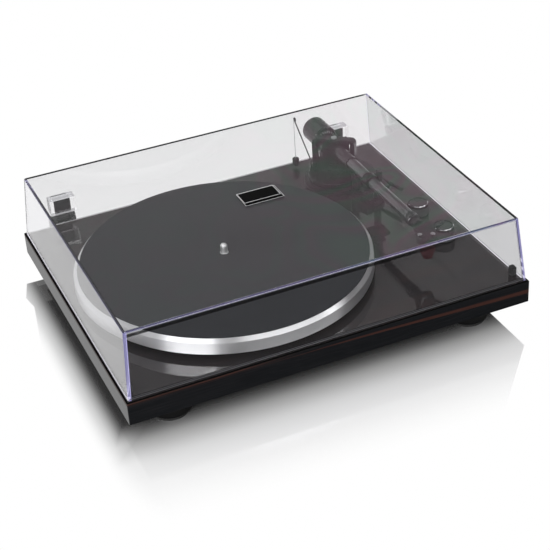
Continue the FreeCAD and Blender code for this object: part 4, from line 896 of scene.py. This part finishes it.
def plinth_distances(tree, x, y):
    """How far past the plinth's outline, plain and stretched: by more to the right and the back."""
    stretched, past = [], []
    for value, low, high, low_stretch, high_stretch in (
            (x, PLINTH_LOW.x, PLINTH_HIGH.x, 3.6, 9.0), (y, PLINTH_LOW.y, PLINTH_HIGH.y, 1.0, 8.0)):
        off = minus(tree, value, (low + high) / 2)
        past.append(minus(tree, maths(tree, "ABSOLUTE", off), (high - low) / 2))
        beyond = maths(tree, "GREATER_THAN", off, 0.0)
        stretch = mix_numbers(tree, beyond, low_stretch, high_stretch)
        stretched.append(times(tree, largest(tree, past[-1], 0.0), stretch))
    return largest(tree, *past), vector_maths(tree, "LENGTH", combined(tree, *stretched))


def floor_with_painted_shadow(tree, x, y, past):
    """The floor's colour with painted shadow: white, painted greyer under the plinth and painted black where
    it is out of all light.
    """
    pale = mixed(tree, between(tree, past, -0.028, 0.03), (0.28, 0.28, 0.28), (0.77, 0.77, 0.77))
    open_left = between(tree, minus(tree, PLINTH_LOW.x, x), -0.003, 0.016, 0.12, 1.0)
    open_front = between(tree, minus(tree, PLINTH_LOW.y, y), -0.041, -0.001)
    return mixed(tree, largest(tree, open_left, open_front), BLACK, pale)


def slanting(tree, y, start, at, slope):
    """The X, at a given Y, of a straight line over the floor that is at one X where Y is start."""
    return plus(tree, times(tree, minus(tree, y, start), slope), at)


def plain_white_floor(tree, x, y, stretched):
    """1 where the floor is as white as the studio: away from the object, and past straight outlines."""
    left, right = PLINTH_LOW.x, PLINTH_HIGH.x
    front, back = PLINTH_LOW.y, PLINTH_HIGH.y
    far = between(tree, stretched, 0.043, 0.120)
    # the right side is cut off by a line that slants in before the front
    before = largest(tree, minus(tree, front - 0.035, y), 0.0)
    past_right = between(tree, plus(tree, x, times(tree, before, 0.9)), right - 0.0265, right - 0.0255)
    # the left side is dark only as far back as this, and no further out than some slanting lines
    on_left = maths(tree, "LESS_THAN", x, left + 0.06)
    past_back = times(tree, on_left, between(tree, y, back - 0.0265, back - 0.0255))
    limit = largest(tree, slanting(tree, y, 0.112, left - 0.019, 0.308),
                    smallest(tree, slanting(tree, y, 0.047, left - 0.024, 0.182),
                             slanting(tree, y, 0.091, left - 0.016, -0.143)))
    limit = plus(tree, limit, times(tree, smallest(tree, y, 0.0), 0.6))
    past_left = between(tree, minus(tree, limit, x), 0.0, 0.001)
    left_fade = between(tree, minus(tree, left, x), 0.0125, 0.0320)
    return largest(tree, far, past_right, past_back, past_left, left_fade)


def make_floor_material():
    """A polished white floor with painted shadow near the object, and plain white further off."""
    material = bpy.data.materials.new("studio_white")
    material.use_nodes = True
    tree = material.node_tree
    tree.nodes.clear()
    x, y, _z = axes(tree, object_place(tree))
    past, stretched = plinth_distances(tree, x, y)
    rays = node(tree, "LightPath")
    straight, mirrored = seen_straight(tree, rays), been_mirrored(tree, rays)
    # painted shadow: the matt floor's colour darkens under and around the plinth
    paint = node(tree, "BsdfDiffuse")
    feed(tree, paint.inputs[0], floor_with_painted_shadow(tree, x, y, past))
    # the polish is so strong that the grey ceiling looks white in it
    mirror = node(tree, "BsdfAnisotropic")
    mirror.inputs["Color"].default_value = (1.0 / OVERHEAD_GLOW,) * 3 + (1.0,)
    mirror.inputs["Roughness"].default_value = 0.04
    polish = times(tree, straight, between(tree, stretched, 0.015, 0.075, 0.10, 0.0),
                   between(tree, x, PLINTH_LOW.x - 0.004, PLINTH_LOW.x, 0.2, 1.0))
    near = mixed_shaders(tree, polish, paint.outputs[0], mirror.outputs[0])
    white = node(tree, "Emission")
    feed(tree, white.inputs[0], mixed(tree, mirrored, WHITE, studio_glow(tree, x, y)))
    off = largest(tree, times(tree, straight, plain_white_floor(tree, x, y, stretched)),
                  times(tree, mirrored, between(tree, stretched, 0.0, 0.01)))
    seen = mixed_shaders(tree, off, near, white.outputs[0])
    # seen from below the floor is clear, so that the underside shows
    below = node(tree, "NewGeometry").outputs["Backfacing"]
    clear = node(tree, "BsdfTransparent").outputs[0]
    feed(tree, node(tree, "OutputMaterial").inputs[0], mixed_shaders(tree, below, seen, clear))
    return material


def make_floor():
    """A wide floor on the ground."""
    select_only()
    bpy.ops.mesh.primitive_plane_add(size=14.0, location=(0, 0, 0))
    floor = bpy.context.object
    floor.name = "studio_floor"
    floor.data.materials.append(make_floor_material())


def studio_walls(tree):
    """The grey of the studio's walls in a reflection, by the direction round the object."""
    x, y, _z = axes(tree, node(tree, "TexCoord").outputs["Generated"])
    turn = plus(tree, maths(tree, "DIVIDE", maths(tree, "ARCTAN2", y, x), 2.0 * math.pi), 0.5)
    greys = [(degrees / 360.0 + 0.5, (grey,) * 3) for degrees, grey in WALL_GREYS]
    return banded(tree, turn, greys[0][1], greys)


def make_world():
    """White to the camera, plain grey to matt surfaces, and in reflections with walls of their own greys."""
    world = bpy.data.worlds.new("studio_world")
    bpy.context.scene.world = world
    world.use_nodes = True
    tree = world.node_tree
    rays = node(tree, "LightPath")
    unseen = mixed(tree, been_mirrored(tree, rays), (AMBIENT,) * 3, studio_walls(tree))
    ground = tree.nodes["Background"]
    feed(tree, ground.inputs[0], mixed(tree, seen_straight(tree, rays), unseen, WHITE))
    ground.inputs[1].default_value = 1.0


def add_softbox(name, place, target, width, height, power):
    """A rectangular soft lamp facing target."""
    lamp = bpy.data.lights.new(name, "AREA")
    lamp.shape = "RECTANGLE"
    lamp.size = width
    lamp.size_y = height
    lamp.energy = power
    holder = bpy.data.objects.new(name, lamp)
    bpy.context.collection.objects.link(holder)
    holder.location = place
    holder.rotation_euler = (Vector(target) - Vector(place)).to_track_quat("-Z", "Y").to_euler()


def make_lamps():
    """Four soft lamps, all facing the middle of the object."""
    target = (0.0, 0.0, 0.05)
    add_softbox("softbox_back", (0.1, 0.55, 1.5), target, 1.3, 0.7, 4.0)
    add_softbox("softbox_side", (-1.13, -0.98, 0.45), target, 0.92, 0.6, 16.0)
    add_softbox("softbox_low", (0.70, -1.44, 0.45), target, 2.1, 0.6, 6.0)
    add_softbox("softbox_right", (1.30, -0.58, 1.15), target, 0.5, 0.4, 2.0)


def make_camera():
    """The camera: a long lens from the front left, a little above."""
    turn, rise, roll = math.radians(-21.94), math.radians(32.54), math.radians(-3.78)
    target = Vector((-0.00626, -0.04337, 0.047))
    distance = 1.4633
    back = Vector((math.sin(turn) * math.cos(rise), -math.cos(turn) * math.cos(rise), math.sin(rise)))
    right = (-back).cross(Vector((0, 0, 1))).normalized()
    up = right.cross(-back)
    across = right * math.cos(roll) + up * math.sin(roll)
    upward = up * math.cos(roll) - right * math.sin(roll)
    data = bpy.data.cameras.new("camera")
    data.sensor_width = 36.0
    data.lens = 94.93527
    data.clip_start = 0.05
    data.clip_end = 50.0
    camera = bpy.data.objects.new("camera", data)
    bpy.context.collection.objects.link(camera)
    pose = Matrix((across, upward, back)).transposed().to_4x4()
    pose.translation = target + back * distance
    camera.matrix_world = pose
    bpy.context.scene.camera = camera


make_floor()
make_world()
make_lamps()
make_camera()
bpy.context.scene.view_settings.view_transform = "Standard"
